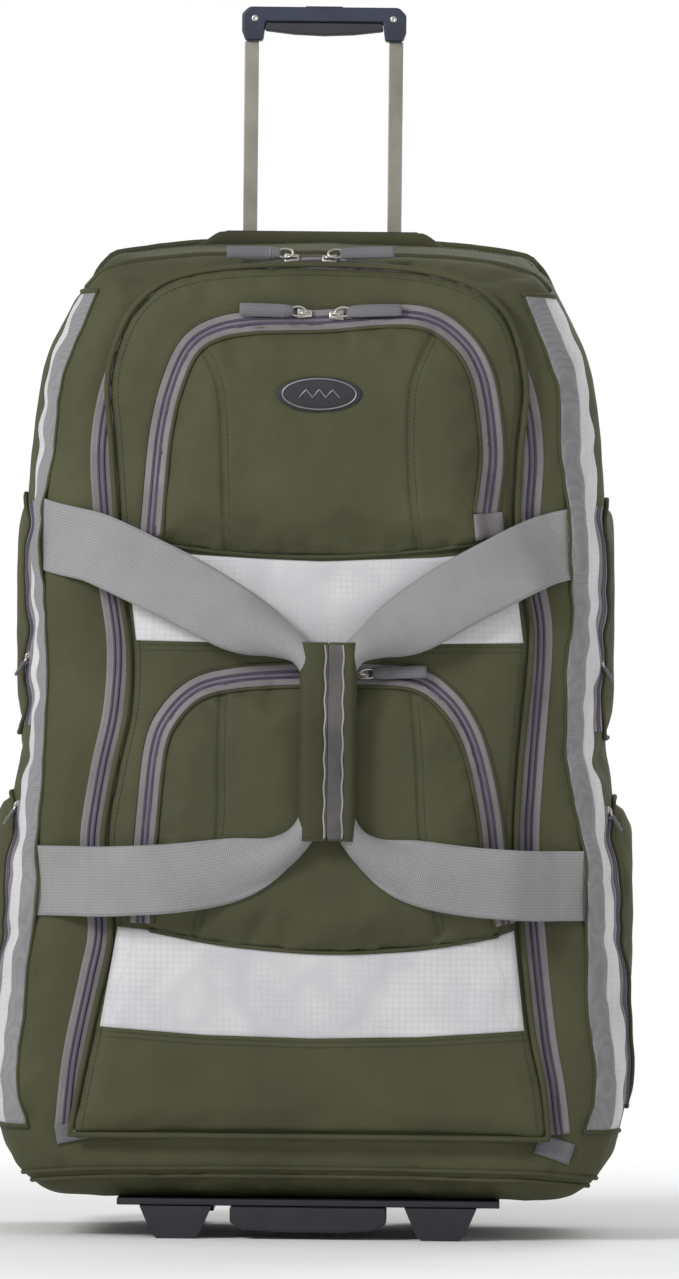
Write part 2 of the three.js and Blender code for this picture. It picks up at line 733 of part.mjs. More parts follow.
// The crossbar: two corner blocks under a rail, with a soft insert and a button.
function addHandleHead(low) {
  const railLow = HANDLE_TOP - 13;
  const insertHalf = HANDLE_HALF - 20;
  const buttonHalf = 16;
  const buttonDepth = 12;
  const front = TUBE_Y - HANDLE_DEPTH / 2;
  const back = TUBE_Y + HANDLE_DEPTH / 2;
  const outline = [
    [HANDLE_HALF - 3, low],
    [HANDLE_HALF, low + 8],
    [HANDLE_HALF, HANDLE_TOP - 6],
    [HANDLE_HALF - 6, HANDLE_TOP],
    [-HANDLE_HALF + 6, HANDLE_TOP],
    [-HANDLE_HALF, HANDLE_TOP - 6],
    [-HANDLE_HALF, low + 8],
    [-HANDLE_HALF + 3, low],
    [-insertHalf - 2, low],
    [-insertHalf, railLow],
    [insertHalf, railLow],
    [insertHalf + 2, low],
  ];
  const well = box(
    [-buttonHalf - GAP, TUBE_Y - buttonDepth / 2 - GAP, HANDLE_TOP - 9.5],
    [buttonHalf + GAP, TUBE_Y + buttonDepth / 2 + GAP, HANDLE_TOP + 1],
  );
  addPiece("handle_housing", toGeometry(prismY(outline, front, back).subtract(well)), "plastic");
  const bow = [
    [insertHalf - GAP, railLow - GAP],
    [-insertHalf + GAP, railLow - GAP],
    [-insertHalf + GAP - 1, low + 9],
    [-insertHalf * 0.5, low + 6],
    [0, low + 5],
    [insertHalf * 0.5, low + 6],
    [insertHalf - GAP + 1, low + 9],
  ];
  addPiece("grip_insert", toGeometry(prismY(bow, front + 1, back - 1)), "rubber");
  const button = box(
    [-buttonHalf, TUBE_Y - buttonDepth / 2, HANDLE_TOP - 5],
    [buttonHalf, TUBE_Y + buttonDepth / 2, HANDLE_TOP + 1],
  );
  addPiece("release_button", toGeometry(button), "plastic");
}

// ---------------------------------------------------------------- base and wheels

function addBase() {
  const trayLow = [-TRAY_HALF, TRAY_FRONT, RUNNER_TOP + GAP];
  const tray = box(trayLow, [TRAY_HALF, TRAY_BACK, SHELL_BOTTOM - GAP]);
  addPiece("base_tray", toGeometry(tray), "plastic");
  for (const [name, side] of [["left", -1], ["right", 1]]) {
    addPiece(`${name}_runner`, toGeometry(runner(side)), "plastic");
    addPiece(`${name}_axle`, toGeometry(axle(side)), "chrome");
    addPiece(`${name}_tyre`, toGeometry(tyre(side)), "rubber");
    addPiece(`${name}_hub`, toGeometry(hub(side)), "plastic");
  }
  addPiece("bottom_grab_handle", toGeometry(bottomHandle()), "plastic");
}

// A tapered skid with a foot at its front and a wheel housing at its rear.
function runner(side) {
  const x = side * RUNNER_X;
  const section = [
    [x - 15.5, 0],
    [x + 15.5, 0],
    [x + 20, 4],
    [x + 30, RUNNER_TOP],
    [x - 30, RUNNER_TOP],
    [x - 20, 4],
  ];
  const skid = prismY(section, FOOT_FRONT, SKID_BACK);
  const relief = box([x - FOOT_HALF, FOOT_BACK, -1], [x + FOOT_HALF, SKID_BACK + 1, HOUSING_BOTTOM]);
  const housing = wheelHousingBlock(side, 0);
  const slotHalf = WHEEL_WIDTH / 2 + 1.5;
  const slot = box(
    [x - slotHalf, WHEEL_Y - WHEEL_RADIUS - 3, -1],
    [x + slotHalf, HALF_DEPTH + 1, 2 * WHEEL_RADIUS + 3],
  );
  const bore = cylinderX(AXLE_RADIUS + GAP, x - FOOT_HALF, x + FOOT_HALF, WHEEL_Y, WHEEL_RADIUS);
  return skid.subtract(relief).add(housing).subtract(slot).subtract(bore);
}

function axle(side) {
  const x = side * RUNNER_X;
  return cylinderX(AXLE_RADIUS, x - AXLE_HALF, x + AXLE_HALF, WHEEL_Y, WHEEL_RADIUS);
}

// A ring about the axle, from its half section of [radius, distance from its middle].
function wheelRing(side, halfSection) {
  const section = halfSection.map(([radius, along]) => new THREE.Vector2(radius, along));
  section.push(section[0].clone());
  const geometry = new THREE.LatheGeometry(section, 28);
  geometry.rotateZ(Math.PI / 2);
  geometry.translate(side * RUNNER_X, WHEEL_Y, WHEEL_RADIUS);
  return toSolid(geometry);
}

function tyre(side) {
  const edge = WHEEL_WIDTH / 2;
  return wheelRing(side, [
    [HUB_RADIUS, -edge + 2],
    [29, -edge],
    [WHEEL_RADIUS, -edge + 5],
    [WHEEL_RADIUS, edge - 5],
    [29, edge],
    [HUB_RADIUS, edge - 2],
  ]);
}

function hub(side) {
  const bore = AXLE_RADIUS + GAP;
  return wheelRing(side, [
    [bore, -11],
    [9, -11],
    [11, -5],
    [19, -5],
    [HUB_RADIUS - GAP, -9],
    [HUB_RADIUS - GAP, 9],
    [19, 5],
    [11, 5],
    [9, 11],
    [bore, 11],
  ]);
}

// A grab handle under the front edge: a bowed bar with a hand gap behind it.
function bottomHandle() {
  const outline = [
    [-65, RUNNER_TOP],
    [-65, 14],
    [-56, 8],
    [-28, 6],
    [28, 6],
    [56, 8],
    [65, 14],
    [65, RUNNER_TOP],
  ];
  const handGap = box([-50, FOOT_FRONT + 13, -1], [50, 0, RUNNER_TOP - 3]);
  return prismY(outline, FOOT_FRONT, FOOT_FRONT + 56).subtract(handGap);
}

// ---------------------------------------------------------------- the whole bag

addShell();
addFlapAndPockets();
addZips();
addFrontSliders();
addSidePockets();
addCarryLoops();
addPullHandle();
addBase();

export default bag;
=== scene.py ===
"""Looks of the rolling duffel bag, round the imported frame. Metres, +Z up, front to -Y."""
import math

import bmesh
import bpy
from mathutils import Matrix, Vector, noise
from mathutils.bvhtree import BVHTree


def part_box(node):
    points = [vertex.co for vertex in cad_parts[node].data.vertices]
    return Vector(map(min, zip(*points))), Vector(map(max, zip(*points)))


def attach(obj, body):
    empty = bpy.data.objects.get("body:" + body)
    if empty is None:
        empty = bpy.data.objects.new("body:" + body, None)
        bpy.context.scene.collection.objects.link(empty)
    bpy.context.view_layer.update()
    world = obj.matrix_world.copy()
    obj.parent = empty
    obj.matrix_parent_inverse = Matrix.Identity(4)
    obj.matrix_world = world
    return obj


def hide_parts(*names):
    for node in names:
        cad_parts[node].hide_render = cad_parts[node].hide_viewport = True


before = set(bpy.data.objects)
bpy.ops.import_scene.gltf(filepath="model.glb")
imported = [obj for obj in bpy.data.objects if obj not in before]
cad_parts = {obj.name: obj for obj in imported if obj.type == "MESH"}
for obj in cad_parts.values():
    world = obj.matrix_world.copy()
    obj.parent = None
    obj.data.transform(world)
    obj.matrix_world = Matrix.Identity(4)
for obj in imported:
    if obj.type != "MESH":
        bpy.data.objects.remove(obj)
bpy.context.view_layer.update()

# ------------------------------------------------------------------ dimensions from the frame

MM = 0.001


def corners(*nodes):
    """Lowest and highest corner of several nodes together."""
    boxes = [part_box(node) for node in nodes]
    low = Vector([min(b[0][i] for b in boxes) for i in range(3)])
    high = Vector([max(b[1][i] for b in boxes) for i in range(3)])
    return low, high


SHELL_NODES = [
    "back_panel", "left_side_panel", "right_side_panel", "top_panel", "base_panel",
    "top_gusset", "left_gusset", "right_gusset", "front_boot",
]
shell_low, shell_high = corners(*SHELL_NODES)
flap_low, flap_high = corners("front_flap")
grip_low, grip_high = corners("left_grip_wrap", "right_grip_wrap")

SHELL_FRONT = shell_low.y
SHELL_BACK = shell_high.y
SHELL_BOTTOM = shell_low.z
SHELL_TOP = shell_high.z
FLAP_BACK = flap_high.y
FLAP_FRONT = flap_low.y
POCKET_FRONT = corners("upper_pocket")[0].y
CORNER = 45 * MM  # round of the front corners, seen from above
CORNER_Y = SHELL_FRONT + CORNER
ZIP_WIDTH = 18 * MM
SIDE_ZIP_WIDTH = 17 * MM
PIPE = 2.6 * MM  # radius of the piping
SIDE_BULGE = 8 * MM
BULGE_FRONT, BULGE_FRONT_EASE = -0.088, 0.040
BULGE_BACK, BULGE_BACK_EASE = 0.150, 0.060

# Half width of the shell at a height, on each side.
SHELL_WIDTHS = [
    (0.0334, 0.205), (0.042, 0.225), (0.056, 0.241), (0.081, 0.250), (0.115, 0.256),
    (0.165, 0.255), (0.241, 0.250), (0.300, 0.245), (0.367, 0.238), (0.417, 0.231),
    (0.493, 0.231), (0.552, 0.231), (0.644, 0.226), (0.713, 0.218), (0.756, 0.206),
    (0.795, 0.194), (0.821, 0.184),
]
TOP_DOME = [(0.170, 0.829), (0.120, 0.836), (0.060, 0.839), (0.0, 0.840)]

# Half width of the flap at a height, up one side to its top.
FLAP_LEFT = [
    (0.198, 0.086), (0.190, 0.130), (0.178, 0.190), (0.166, 0.250), (0.171, 0.300),
    (0.172, 0.340), (0.163, 0.395), (0.154, 0.440), (0.153, 0.490), (0.162, 0.550),
    (0.165, 0.600), (0.169, 0.655), (0.173, 0.711), (0.163, 0.752), (0.146, 0.779),
    (0.118, 0.797), (0.072, 0.806),
]
FLAP_RIGHT = [
    (0.199, 0.086), (0.194, 0.130), (0.185, 0.174), (0.175, 0.262), (0.170, 0.332),
    (0.173, 0.400), (0.181, 0.500), (0.173, 0.550), (0.168, 0.600), (0.170, 0.655),
    (0.174, 0.711), (0.163, 0.758), (0.146, 0.781), (0.122, 0.796), (0.076, 0.806),
]

# Middle line of each pocket's arched zip, from its left end over the top to its right end.
UPPER_ARCH = [
    (-0.136, 0.583), (-0.133, 0.625), (-0.129, 0.668), (-0.121, 0.705), (-0.107, 0.738),
    (-0.086, 0.754), (-0.052, 0.761), (0.006, 0.763), (0.066, 0.768), (0.098, 0.763),
    (0.122, 0.745), (0.136, 0.722), (0.143, 0.693), (0.147, 0.650), (0.142, 0.603),
]
LOWER_ARCH = [
    (-0.141, 0.262), (-0.140, 0.300), (-0.137, 0.345), (-0.131, 0.406), (-0.120, 0.434),
    (-0.098, 0.456), (-0.068, 0.465), (-0.020, 0.469), (0.040, 0.470), (0.084, 0.467),
    (0.108, 0.453), (0.126, 0.430), (0.138, 0.399), (0.148, 0.352), (0.154, 0.300),
    (0.162, 0.264),
]
UPPER_BOTTOM = [(0.142, 0.577), (0.080, 0.569), (0.0, 0.564), (-0.075, 0.567), (-0.136, 0.575)]
LOWER_BOTTOM = [(0.155, 0.252), (0.090, 0.241), (0.010, 0.237), (-0.070, 0.243), (-0.133, 0.254)]

# ------------------------------------------------------------------ curves


def spline(points, per_span=8, closed=False):
    """A smooth line through points of any dimension (Catmull-Rom)."""
    points = [Vector(p) for p in points]
    count = len(points)
    spans = count if closed else count - 1

    def at(i):
        return points[i % count] if closed else points[max(0, min(count - 1, i))]

    line = []
    for i in range(spans):
        a, b, c, d = at(i - 1), at(i), at(i + 1), at(i + 2)
        for step in range(per_span):
            t = step / per_span
            line.append(0.5 * (2 * b + (c - a) * t + (2 * a - 5 * b + 4 * c - d) * t * t
                               + (3 * b - a - 3 * c + d) * t ** 3))
    if not closed:
        line.append(points[-1])
    return line


def resample(line, step, closed=False):
    """The same line with points a step apart."""
    whole = line + [line[0]] if closed else line
    lengths = [0.0]
    for a, b in zip(whole, whole[1:]):
        lengths.append(lengths[-1] + (b - a).length)
    count = max(2, round(lengths[-1] / step))
    picked = []
    j = 0
    for i in range(count if closed else count + 1):
        want = lengths[-1] * i / count
        while j < len(lengths) - 2 and lengths[j + 1] < want:
            j += 1
        share = (want - lengths[j]) / max(1e-9, lengths[j + 1] - lengths[j])
        picked.append(whole[j].lerp(whole[j + 1], min(1, share)))
    return picked


def table(rows, key):
    """Straight-line reading of (key, value) rows."""
    if key <= rows[0][0]:
        return rows[0][1]
    for (k0, v0), (k1, v1) in zip(rows, rows[1:]):
        if key <= k1:
            return v0 + (v1 - v0) * (key - k0) / (k1 - k0)
    return rows[-1][1]


def shell_width(z):
    """Half width of the shell between its seams at a height."""
    return table(SHELL_WIDTHS, z)


def side_bulge(y):
    """How far the soft sides stand out past the straight section between their seams."""
    front = clamp((y - BULGE_FRONT) / BULGE_FRONT_EASE)
    back = clamp((BULGE_BACK - y) / BULGE_BACK_EASE)
    return SIDE_BULGE * eased(min(front, back))


def sides(line, distance):
    """A flat (x, z) line moved sideways, to its left where the distance is positive."""
    moved = []
    for i, p in enumerate(line):
        along = (line[min(i + 1, len(line) - 1)] - line[max(i - 1, 0)]).normalized()
        moved.append(p + Vector((-along.y, along.x)) * distance)
    return moved


# ------------------------------------------------------------------ meshes


def round_turn(count):
    """Angles round a whole circle."""
    return [2 * math.pi * k / count for k in range(count)]


def clamp(value):
    """The value held between 0 and 1."""
    return min(1.0, max(0.0, value))


def eased(share):
    """A share from 0 to 1 with a soft start and end."""
    return share * share * (3 - 2 * share)


def shares(count):
    """Even shares from 0 to 1, both included."""
    return [i / count for i in range(count + 1)]


def side_word(side):
    """left for -1, right for 1."""
    return "left" if side < 0 else "right"


def settle(obj, body, slot, *nodes):
    """Ties a finished piece to its body and hides the CAD nodes it stands for; the slot argument is not used.
    """
    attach(obj, body)
    if nodes:
        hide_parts(*nodes)
    return obj


def new_object(name, vertices, faces, materials, face_materials=None, smooth=True, uvs=None):
    """A mesh object in the scene. uvs holds one pair for each vertex."""
    mesh = bpy.data.meshes.new(name)
    mesh.from_pydata([tuple(v) for v in vertices], [], faces)
    for m in materials:
        mesh.materials.append(m)
    if face_materials:
        mesh.polygons.foreach_set("material_index", face_materials)
    if uvs:
        layer = mesh.uv_layers.new(name="UVMap")
        for loop in mesh.loops:
            layer.data[loop.index].uv = uvs[loop.vertex_index]
    mesh.polygons.foreach_set("use_smooth", [smooth] * len(mesh.polygons))
    mesh.update()
    made = bpy.data.objects.new(name, mesh)
    bpy.context.scene.collection.objects.link(made)
    return made


def outward(obj):
    """Faces turned outwards."""
    shape = bmesh.new()
    shape.from_mesh(obj.data)
    bmesh.ops.recalc_face_normals(shape, faces=shape.faces)
    shape.to_mesh(obj.data)
    shape.free()
    obj.data.update()
    return obj


def skin(name, rings, materials, caps=True, face_materials=None, uvs=None):
    """A skin over closed rings of points with equal counts, with caps on its two ends."""
    count = len(rings[0])
    vertices = [p for ring in rings for p in ring]
    faces = []
    kinds = []
    for r in range(len(rings) - 1):
        for i in range(count):
            j = (i + 1) % count
            a, b = r * count, (r + 1) * count
            faces.append((a + i, a + j, b + j, b + i))
            kinds.append(face_materials[i] if face_materials else 0)
    if caps:
        end = (len(rings) - 1) * count
        faces.append(tuple(reversed(range(count))))
        faces.append(tuple(range(end, end + count)))
        kinds += [0, 0]
    return outward(new_object(name, vertices, faces, materials, kinds, uvs=uvs))


def frames_along(line, closed=False):
    """For each point of a 3-D line, its direction and two directions across it."""
    count = len(line)
    result = []
    across = None
    for i in range(count):
        before = line[(i - 1) % count] if closed else line[max(0, i - 1)]
        after = line[(i + 1) % count] if closed else line[min(count - 1, i + 1)]
        along = (after - before).normalized()
        if across is None:
            across = along.orthogonal().normalized()
        across = (across - along * across.dot(along)).normalized()
        result.append((along, across, along.cross(across)))
    return result


def rod(name, line, radius, materials, closed=False):
    """A round cord along a line of 3-D points."""
    rings = [[p + (a * math.cos(t) + b * math.sin(t)) * radius for t in round_turn(8)]
             for p, (_, a, b) in zip(line, frames_along(line, closed))]
    if closed:
        return weld(skin(name, rings + rings[:1], materials, caps=False))
    return skin(name, rings, materials)


def weld(obj):
    """Points at the same place made one, and faces turned outwards."""
    shape = bmesh.new()
    shape.from_mesh(obj.data)
    bmesh.ops.remove_doubles(shape, verts=shape.verts, dist=1e-6)
    bmesh.ops.recalc_face_normals(shape, faces=shape.faces)
    shape.to_mesh(obj.data)
    shape.free()
    return obj


def apply_modifier(obj, kind, **values):
    """Adds a modifier and bakes it into the mesh."""
    modifier = obj.modifiers.new(kind.lower(), kind)
    for key, value in values.items():
        setattr(modifier, key, value)
    depsgraph = bpy.context.evaluated_depsgraph_get()
    mesh = bpy.data.meshes.new_from_object(obj.evaluated_get(depsgraph))
    obj.modifiers.clear()
    old = obj.data
    for m in old.materials:
        if m.name not in mesh.materials:
            mesh.materials.append(m)
    obj.data = mesh
    bpy.data.meshes.remove(old)
    return obj


def shade_smooth(obj):
    """Smooth shading on every face."""
    obj.data.polygons.foreach_set("use_smooth", [True] * len(obj.data.polygons))
    return obj


def tree_of(*objects):
    """One search tree over several finished meshes."""
    vertices = []
    faces = []
    for obj in objects:
        start = len(vertices)
        vertices += [v.co.copy() for v in obj.data.vertices]
        faces += [[start + i for i in p.vertices] for p in obj.data.polygons]
    return BVHTree.FromPolygons(vertices, faces)


def on_front(tree, x, z, lift=0.0):
    """The front surface at (x, z), raised along its own normal."""
    hit, normal, _, _ = tree.ray_cast(Vector((x, -1, z)), Vector((0, 1, 0)))
    if hit is None or hit.y > 0:
        hit, normal, _, _ = tree.find_nearest(Vector((x, SHELL_FRONT + 18 * MM, z)))
        return hit + normal * lift, normal
    normal = normal if normal.y < 0 else -normal
    return hit + normal * lift, normal


def round_corner(tree, side, z, degrees, lift=0.0):
    """The surface round a front corner at a height: 0 degrees faces the side, 90 the front."""
    angle = math.radians(degrees)
    way = Vector((side * math.cos(angle), -math.sin(angle), 0))
    middle = Vector((side * (shell_width(z) - CORNER), CORNER_Y, z))
    hit = tree.ray_cast(middle + way, -way)[0]
    if hit is None:
        return middle + way * (CORNER + lift)
    return hit + way * lift


def on_side(tree, side, y, z, lift=0.0):
    """The side surface at (y, z)."""
    hit, normal, _, _ = tree.ray_cast(Vector((side, y, z)), Vector((-side, 0, 0)))
    if hit is None:
        return Vector((side * (shell_width(z) + lift), y, z))
    normal = normal if normal.x * side > 0 else -normal
    return hit + normal * lift


# ------------------------------------------------------------------ cloth


def puff(obj, voxel, pressure, cap, pinned, slack, frames=20):
    """Fills a closed fabric shape: remesh, cloth pressure with pinned seams, capped movement."""
    apply_modifier(obj, "REMESH", mode="VOXEL", voxel_size=voxel)
    shade_smooth(obj)
    rest = [v.co.copy() for v in obj.data.vertices]
    group = obj.vertex_groups.new(name="pinned")
    for i, p in enumerate(rest):
        weight = pinned(p)
        if weight > 0:
            group.add([i], weight, "REPLACE")
    modifier = obj.modifiers.new("cloth", "CLOTH")
    cloth = modifier.settings
    cloth.quality = 4
    cloth.mass = 0.25
    cloth.tension_stiffness = 12
    cloth.compression_stiffness = 12
    cloth.shear_stiffness = 6
    cloth.bending_stiffness = 0.6
    cloth.use_pressure = True
    cloth.uniform_pressure_force = pressure
    cloth.vertex_group_mass = "pinned"
    cloth.shrink_min = -slack
    cloth.effector_weights.gravity = 0
    modifier.collision_settings.use_collision = False
    scene = bpy.context.scene
    scene.frame_start = 1
    scene.frame_end = frames
    modifier.point_cache.frame_end = frames
    for number in range(1, frames + 1):
        scene.frame_set(number)
    depsgraph = bpy.context.evaluated_depsgraph_get()
    moved = [v.co.copy() for v in obj.evaluated_get(depsgraph).data.vertices]
    obj.modifiers.clear()
    obj.vertex_groups.clear()
    scene.frame_set(1)
    for v, start, end in zip(obj.data.vertices, rest, moved):
        step = end - start
        length = step.length
        if length > cap:
            step *= cap / length
        v.co = start + step
    obj.data.update()
    apply_modifier(obj, "SUBSURF", levels=1, render_levels=1)
    return shade_smooth(obj)


def press(obj, change):
    """Moves each vertex along its normal by change(point, normal), in metres."""
    mesh = obj.data
    normals = [v.normal.copy() for v in mesh.vertices]
    for v, normal in zip(mesh.vertices, normals):
        v.co += normal * change(v.co, normal)
    mesh.update()
    return obj


def creases(point, size, seed):
    """Soft random folds, about -1 to 1."""
    return noise.fractal(point / size + Vector((seed, seed * 1.7, seed * 2.3)), 0.6, 2.0, 3)


def distance_to_line(point, line):
    """Shortest flat (x, z) distance from a point to a line of points."""
    best = 1e9
    for a, b in zip(line, line[1:]):
        step = b - a
        share = clamp((point - a).dot(step) / max(1e-12, step.length_squared))
        best = min(best, (a + step * share - point).length)
    return best


def seam_dips(lines, depth, width):
    """A change for press(): grooves along flat (x, z) seam lines on the front."""
    boxes = []
    for line in lines:
        xs = [p.x for p in line]
        zs = [p.y for p in line]
        boxes.append((min(xs) - 3 * width, max(xs) + 3 * width,
                      min(zs) - 3 * width, max(zs) + 3 * width))

    def change(co, normal):
        if normal.y > -0.3:
            return 0.0
        total = 0.0
        for line, (x0, x1, z0, z1) in zip(lines, boxes):
            if x0 < co.x < x1 and z0 < co.z < z1:
                away = distance_to_line(Vector((co.x, co.z)), line)
                total -= depth * math.exp(-(away / width) ** 2)
        return total

    return change


# ------------------------------------------------------------------ materials


class Nodes:
    """A small helper for building node trees."""

    def __init__(self, name):
        self.material = bpy.data.materials.new(name)
        self.material.use_nodes = True
        self.tree = self.material.node_tree
        self.shader = self.tree.nodes["Principled BSDF"]

    def add(self, kind, inputs=None, **settings):
        node = self.tree.nodes.new(kind)
        for key, value in settings.items():
            setattr(node, key, value)
        for key, value in (inputs or {}).items():
            if isinstance(value, bpy.types.NodeSocket):
                self.tree.links.new(value, node.inputs[key])
            else:
                node.inputs[key].default_value = value
        return node

    def math(self, operation, a, b=0.0, c=0.0):
        return self.add("ShaderNodeMath", {0: a, 1: b, 2: c}, operation=operation).outputs[0]

    def scaled(self, value, by, plus):
        return self.math("MULTIPLY_ADD", value, by, plus)

    def wave(self, value, pitch):
        """A smooth wave along a value in metres, from 0 to 1."""
        return self.scaled(self.math("SINE", self.math("MULTIPLY", value, 2 * math.pi / pitch)), 0.5, 0.5)

    def sum(self, a, b, share_a=1, share_b=1):
        """a + b, each multiplied by its share."""
        a = a if share_a == 1 else self.math("MULTIPLY", a, share_a)
        b = b if share_b == 1 else self.math("MULTIPLY", b, share_b)
        return self.math("ADD", a, b)

    def noise(self, coordinates, scale, detail):
        values = {"Vector": coordinates, "Scale": scale, "Detail": detail, "Roughness": 0.55}
        return self.add("ShaderNodeTexNoise", values).outputs["Fac"]

    def ramp(self, factor, stops):
        node = self.add("ShaderNodeValToRGB", {"Fac": factor})
        ramp = node.color_ramp
        while len(ramp.elements) < len(stops):
            ramp.elements.new(0.5)
        for element, (place, colour) in zip(ramp.elements, stops):
            element.position = place
            element.color = (*colour, 1)
        return node.outputs["Color"]

    def mix(self, factor, a, b, blend="MIX"):
        values = {0: factor, 6: a if isinstance(a, bpy.types.NodeSocket) else (*a, 1),
                  7: b if isinstance(b, bpy.types.NodeSocket) else (*b, 1)}
        node = self.add("ShaderNodeMix", values, data_type="RGBA", blend_type=blend)
        return node.outputs[2]

    def coordinates(self):
        return self.add("ShaderNodeTexCoord").outputs["Object"]

    def separate(self, vector):
        return self.add("ShaderNodeSeparateXYZ", {0: vector}).outputs

    def bump(self, height, strength, distance):
        node = self.add("ShaderNodeBump", {"Height": height, "Strength": strength, "Distance": distance})
        self.tree.links.new(node.outputs[0], self.shader.inputs["Normal"])

    def use(self, **inputs):
        for key, value in inputs.items():
            socket = self.shader.inputs[key.replace("_", " ")]
            if isinstance(value, bpy.types.NodeSocket):
                self.tree.links.new(value, socket)
            else:
                socket.default_value = value


def linear(*rgb):
    """A colour from 0-255 values to the shader's linear ones."""
    def one(v):
        v /= 255
        return v / 12.92 if v <= 0.04045 else ((v + 0.055) / 1.055) ** 2.4
    return tuple(one(v) for v in rgb)


def threads(n, coordinates, pitch):
    """A woven height, about 0 to 1, on any face that looks along an axis."""
    parts = n.separate(coordinates)
    waves = [n.math("SINE", n.math("MULTIPLY", part, 2 * math.pi / pitch)) for part in parts]
    total = n.sum(n.sum(waves[0], waves[1]), waves[2])
    return n.scaled(total, 1 / 6, 0.5)


def woven_fabric(name, colour, dark, light, pitch=0.9 * MM):
    """Plain polyester weave with soft random tone changes, and painted shade: the weave's low spots darker,
    its high spots lighter.
    """
    n = Nodes(name)
    where = n.coordinates()
    large = n.noise(where, 9, 4)
    small = n.noise(where, 260, 2)
    base = n.ramp(large, [(0.3, dark), (0.52, colour), (0.75, light)])
    weave = threads(n, where, pitch)
    # painted shade: the colour follows the weave's height, darker in its low spots and lighter on its high
    # spots
    shade = n.scaled(weave, 0.08, 0.96)
    grain = n.scaled(small, 0.24, 0.88)
    tone = n.math("MULTIPLY", shade, grain)
    grey = n.add("ShaderNodeCombineColor", {0: tone, 1: tone, 2: tone}).outputs[0]
    n.use(Base_Color=n.mix(1.0, base, grey, "MULTIPLY"), Roughness=n.scaled(small, 0.2, 0.68),
          Sheen_Weight=0.25, Sheen_Roughness=0.45, Sheen_Tint=(*light, 1), Specular_IOR_Level=0.35)
    n.bump(n.sum(weave, n.noise(where, 60, 3), share_b=0.8), 0.2, 0.4 * MM)
    return n.material


RIPSTOP_PITCH = 5.2 * MM
RIPSTOP_SHARPNESS = 14


def ripstop(name):
    """Pale fabric with a fine raised grid."""
    n = Nodes(name)
    where = n.coordinates()
    parts = n.separate(where)
    x, y, z = (n.math("POWER", n.wave(part, RIPSTOP_PITCH), RIPSTOP_SHARPNESS) for part in parts)
    lines = n.math("MAXIMUM", n.math("MAXIMUM", x, y), z)
    small = n.noise(where, 300, 2)
    soft = n.noise(where, 14, 3)
    base = n.ramp(soft, [(0.3, linear(186, 186, 191)), (0.6, linear(203, 202, 203)),
                         (0.8, linear(211, 210, 209))])
    n.use(Base_Color=n.mix(n.math("MULTIPLY", lines, 0.3), base, linear(170, 170, 176)),
          Roughness=n.scaled(small, 0.15, 0.6), Sheen_Weight=0.2, Sheen_Roughness=0.4)
    n.bump(n.sum(lines, threads(n, where, 0.8 * MM), 0.8, 0.5), 0.4, 0.4 * MM)
    return n.material


def webbing(name, colour, dark, pitch=1.7 * MM):
    """Ribbed webbing: ribs across it, fine rows along it. U runs along, V across, in metres."""
    n = Nodes(name)
    uv = n.add("ShaderNodeUVMap", uv_map="UVMap").outputs[0]
    where = n.coordinates()
    u, v, _ = n.separate(uv)
    ribs = n.wave(u, pitch)
    rows = n.wave(v, 2.4 * MM)
    small = n.noise(where, 420, 2)
    soft = n.noise(where, 18, 3)
    weave = n.sum(ribs, rows, 0.65, 0.35)
    tone = n.sum(weave, soft, 0.55, 0.45)
    base = n.ramp(tone, [(0.15, dark), (0.6, colour), (0.95, tuple(min(1, 1.18 * c) for c in colour))])
    n.use(Base_Color=base, Sheen_Weight=0.15, Roughness=n.scaled(small, 0.2, 0.62))
    n.bump(n.sum(weave, small, share_b=0.3), 0.6, 0.5 * MM)
    return n.material


def plain_tape(name, colour, dark, rough=0.75):
    """Fine zip tape."""
    n = Nodes(name)
    where = n.coordinates()
    small = n.noise(where, 500, 2)
    soft = n.noise(where, 25, 3)
    base = n.ramp(soft, [(0.25, dark), (0.65, colour)])
    n.use(Base_Color=base, Sheen_Weight=0.1, Roughness=n.scaled(small, 0.15, rough - 0.1))
    n.bump(n.sum(threads(n, where, 0.7 * MM), small), 0.35, 0.3 * MM)
    return n.material


def coil(name):
    """Nylon zip coil: fine turns across a dark ridge."""
    n = Nodes(name)
    uv = n.add("ShaderNodeUVMap", uv_map="UVMap").outputs[0]
    u = n.separate(uv)[0]
    turns = n.wave(u, 1.3 * MM)
    base = n.ramp(turns, [(0.1, linear(44, 38, 53)), (0.9, linear(84, 76, 96))])
    n.use(Base_Color=base, Roughness=0.45)
    n.bump(turns, 0.6, 0.5 * MM)
    return n.material


def moulded_plastic(name, colour, light, rough=0.45):
    """Moulded plastic with a fine grain and slightly polished wear."""
    n = Nodes(name)
    where = n.coordinates()
    grain = n.noise(where, 900, 2)
    wear = n.noise(where, 35, 4)
    n.use(Base_Color=n.ramp(wear, [(0.35, colour), (0.8, light)]),
          Roughness=n.sum(grain, n.scaled(wear, -0.15, rough), share_a=0.15))
    n.bump(grain, 0.25, 0.2 * MM)
    return n.material


def rubber(name, colour):
    """Soft rubber with fine stipple."""
    n = Nodes(name)
    where = n.coordinates()
    stipple = n.add("ShaderNodeTexVoronoi", {"Vector": where, "Scale": 900}).outputs["Distance"]
    dust = n.noise(where, 40, 4)
    n.use(Base_Color=n.ramp(dust, [(0.4, colour), (0.85, tuple(c * 1.8 + 0.004 for c in colour))]),
          Roughness=n.scaled(dust, 0.2, 0.6))
    n.bump(stipple, 0.3, 0.2 * MM)
    return n.material


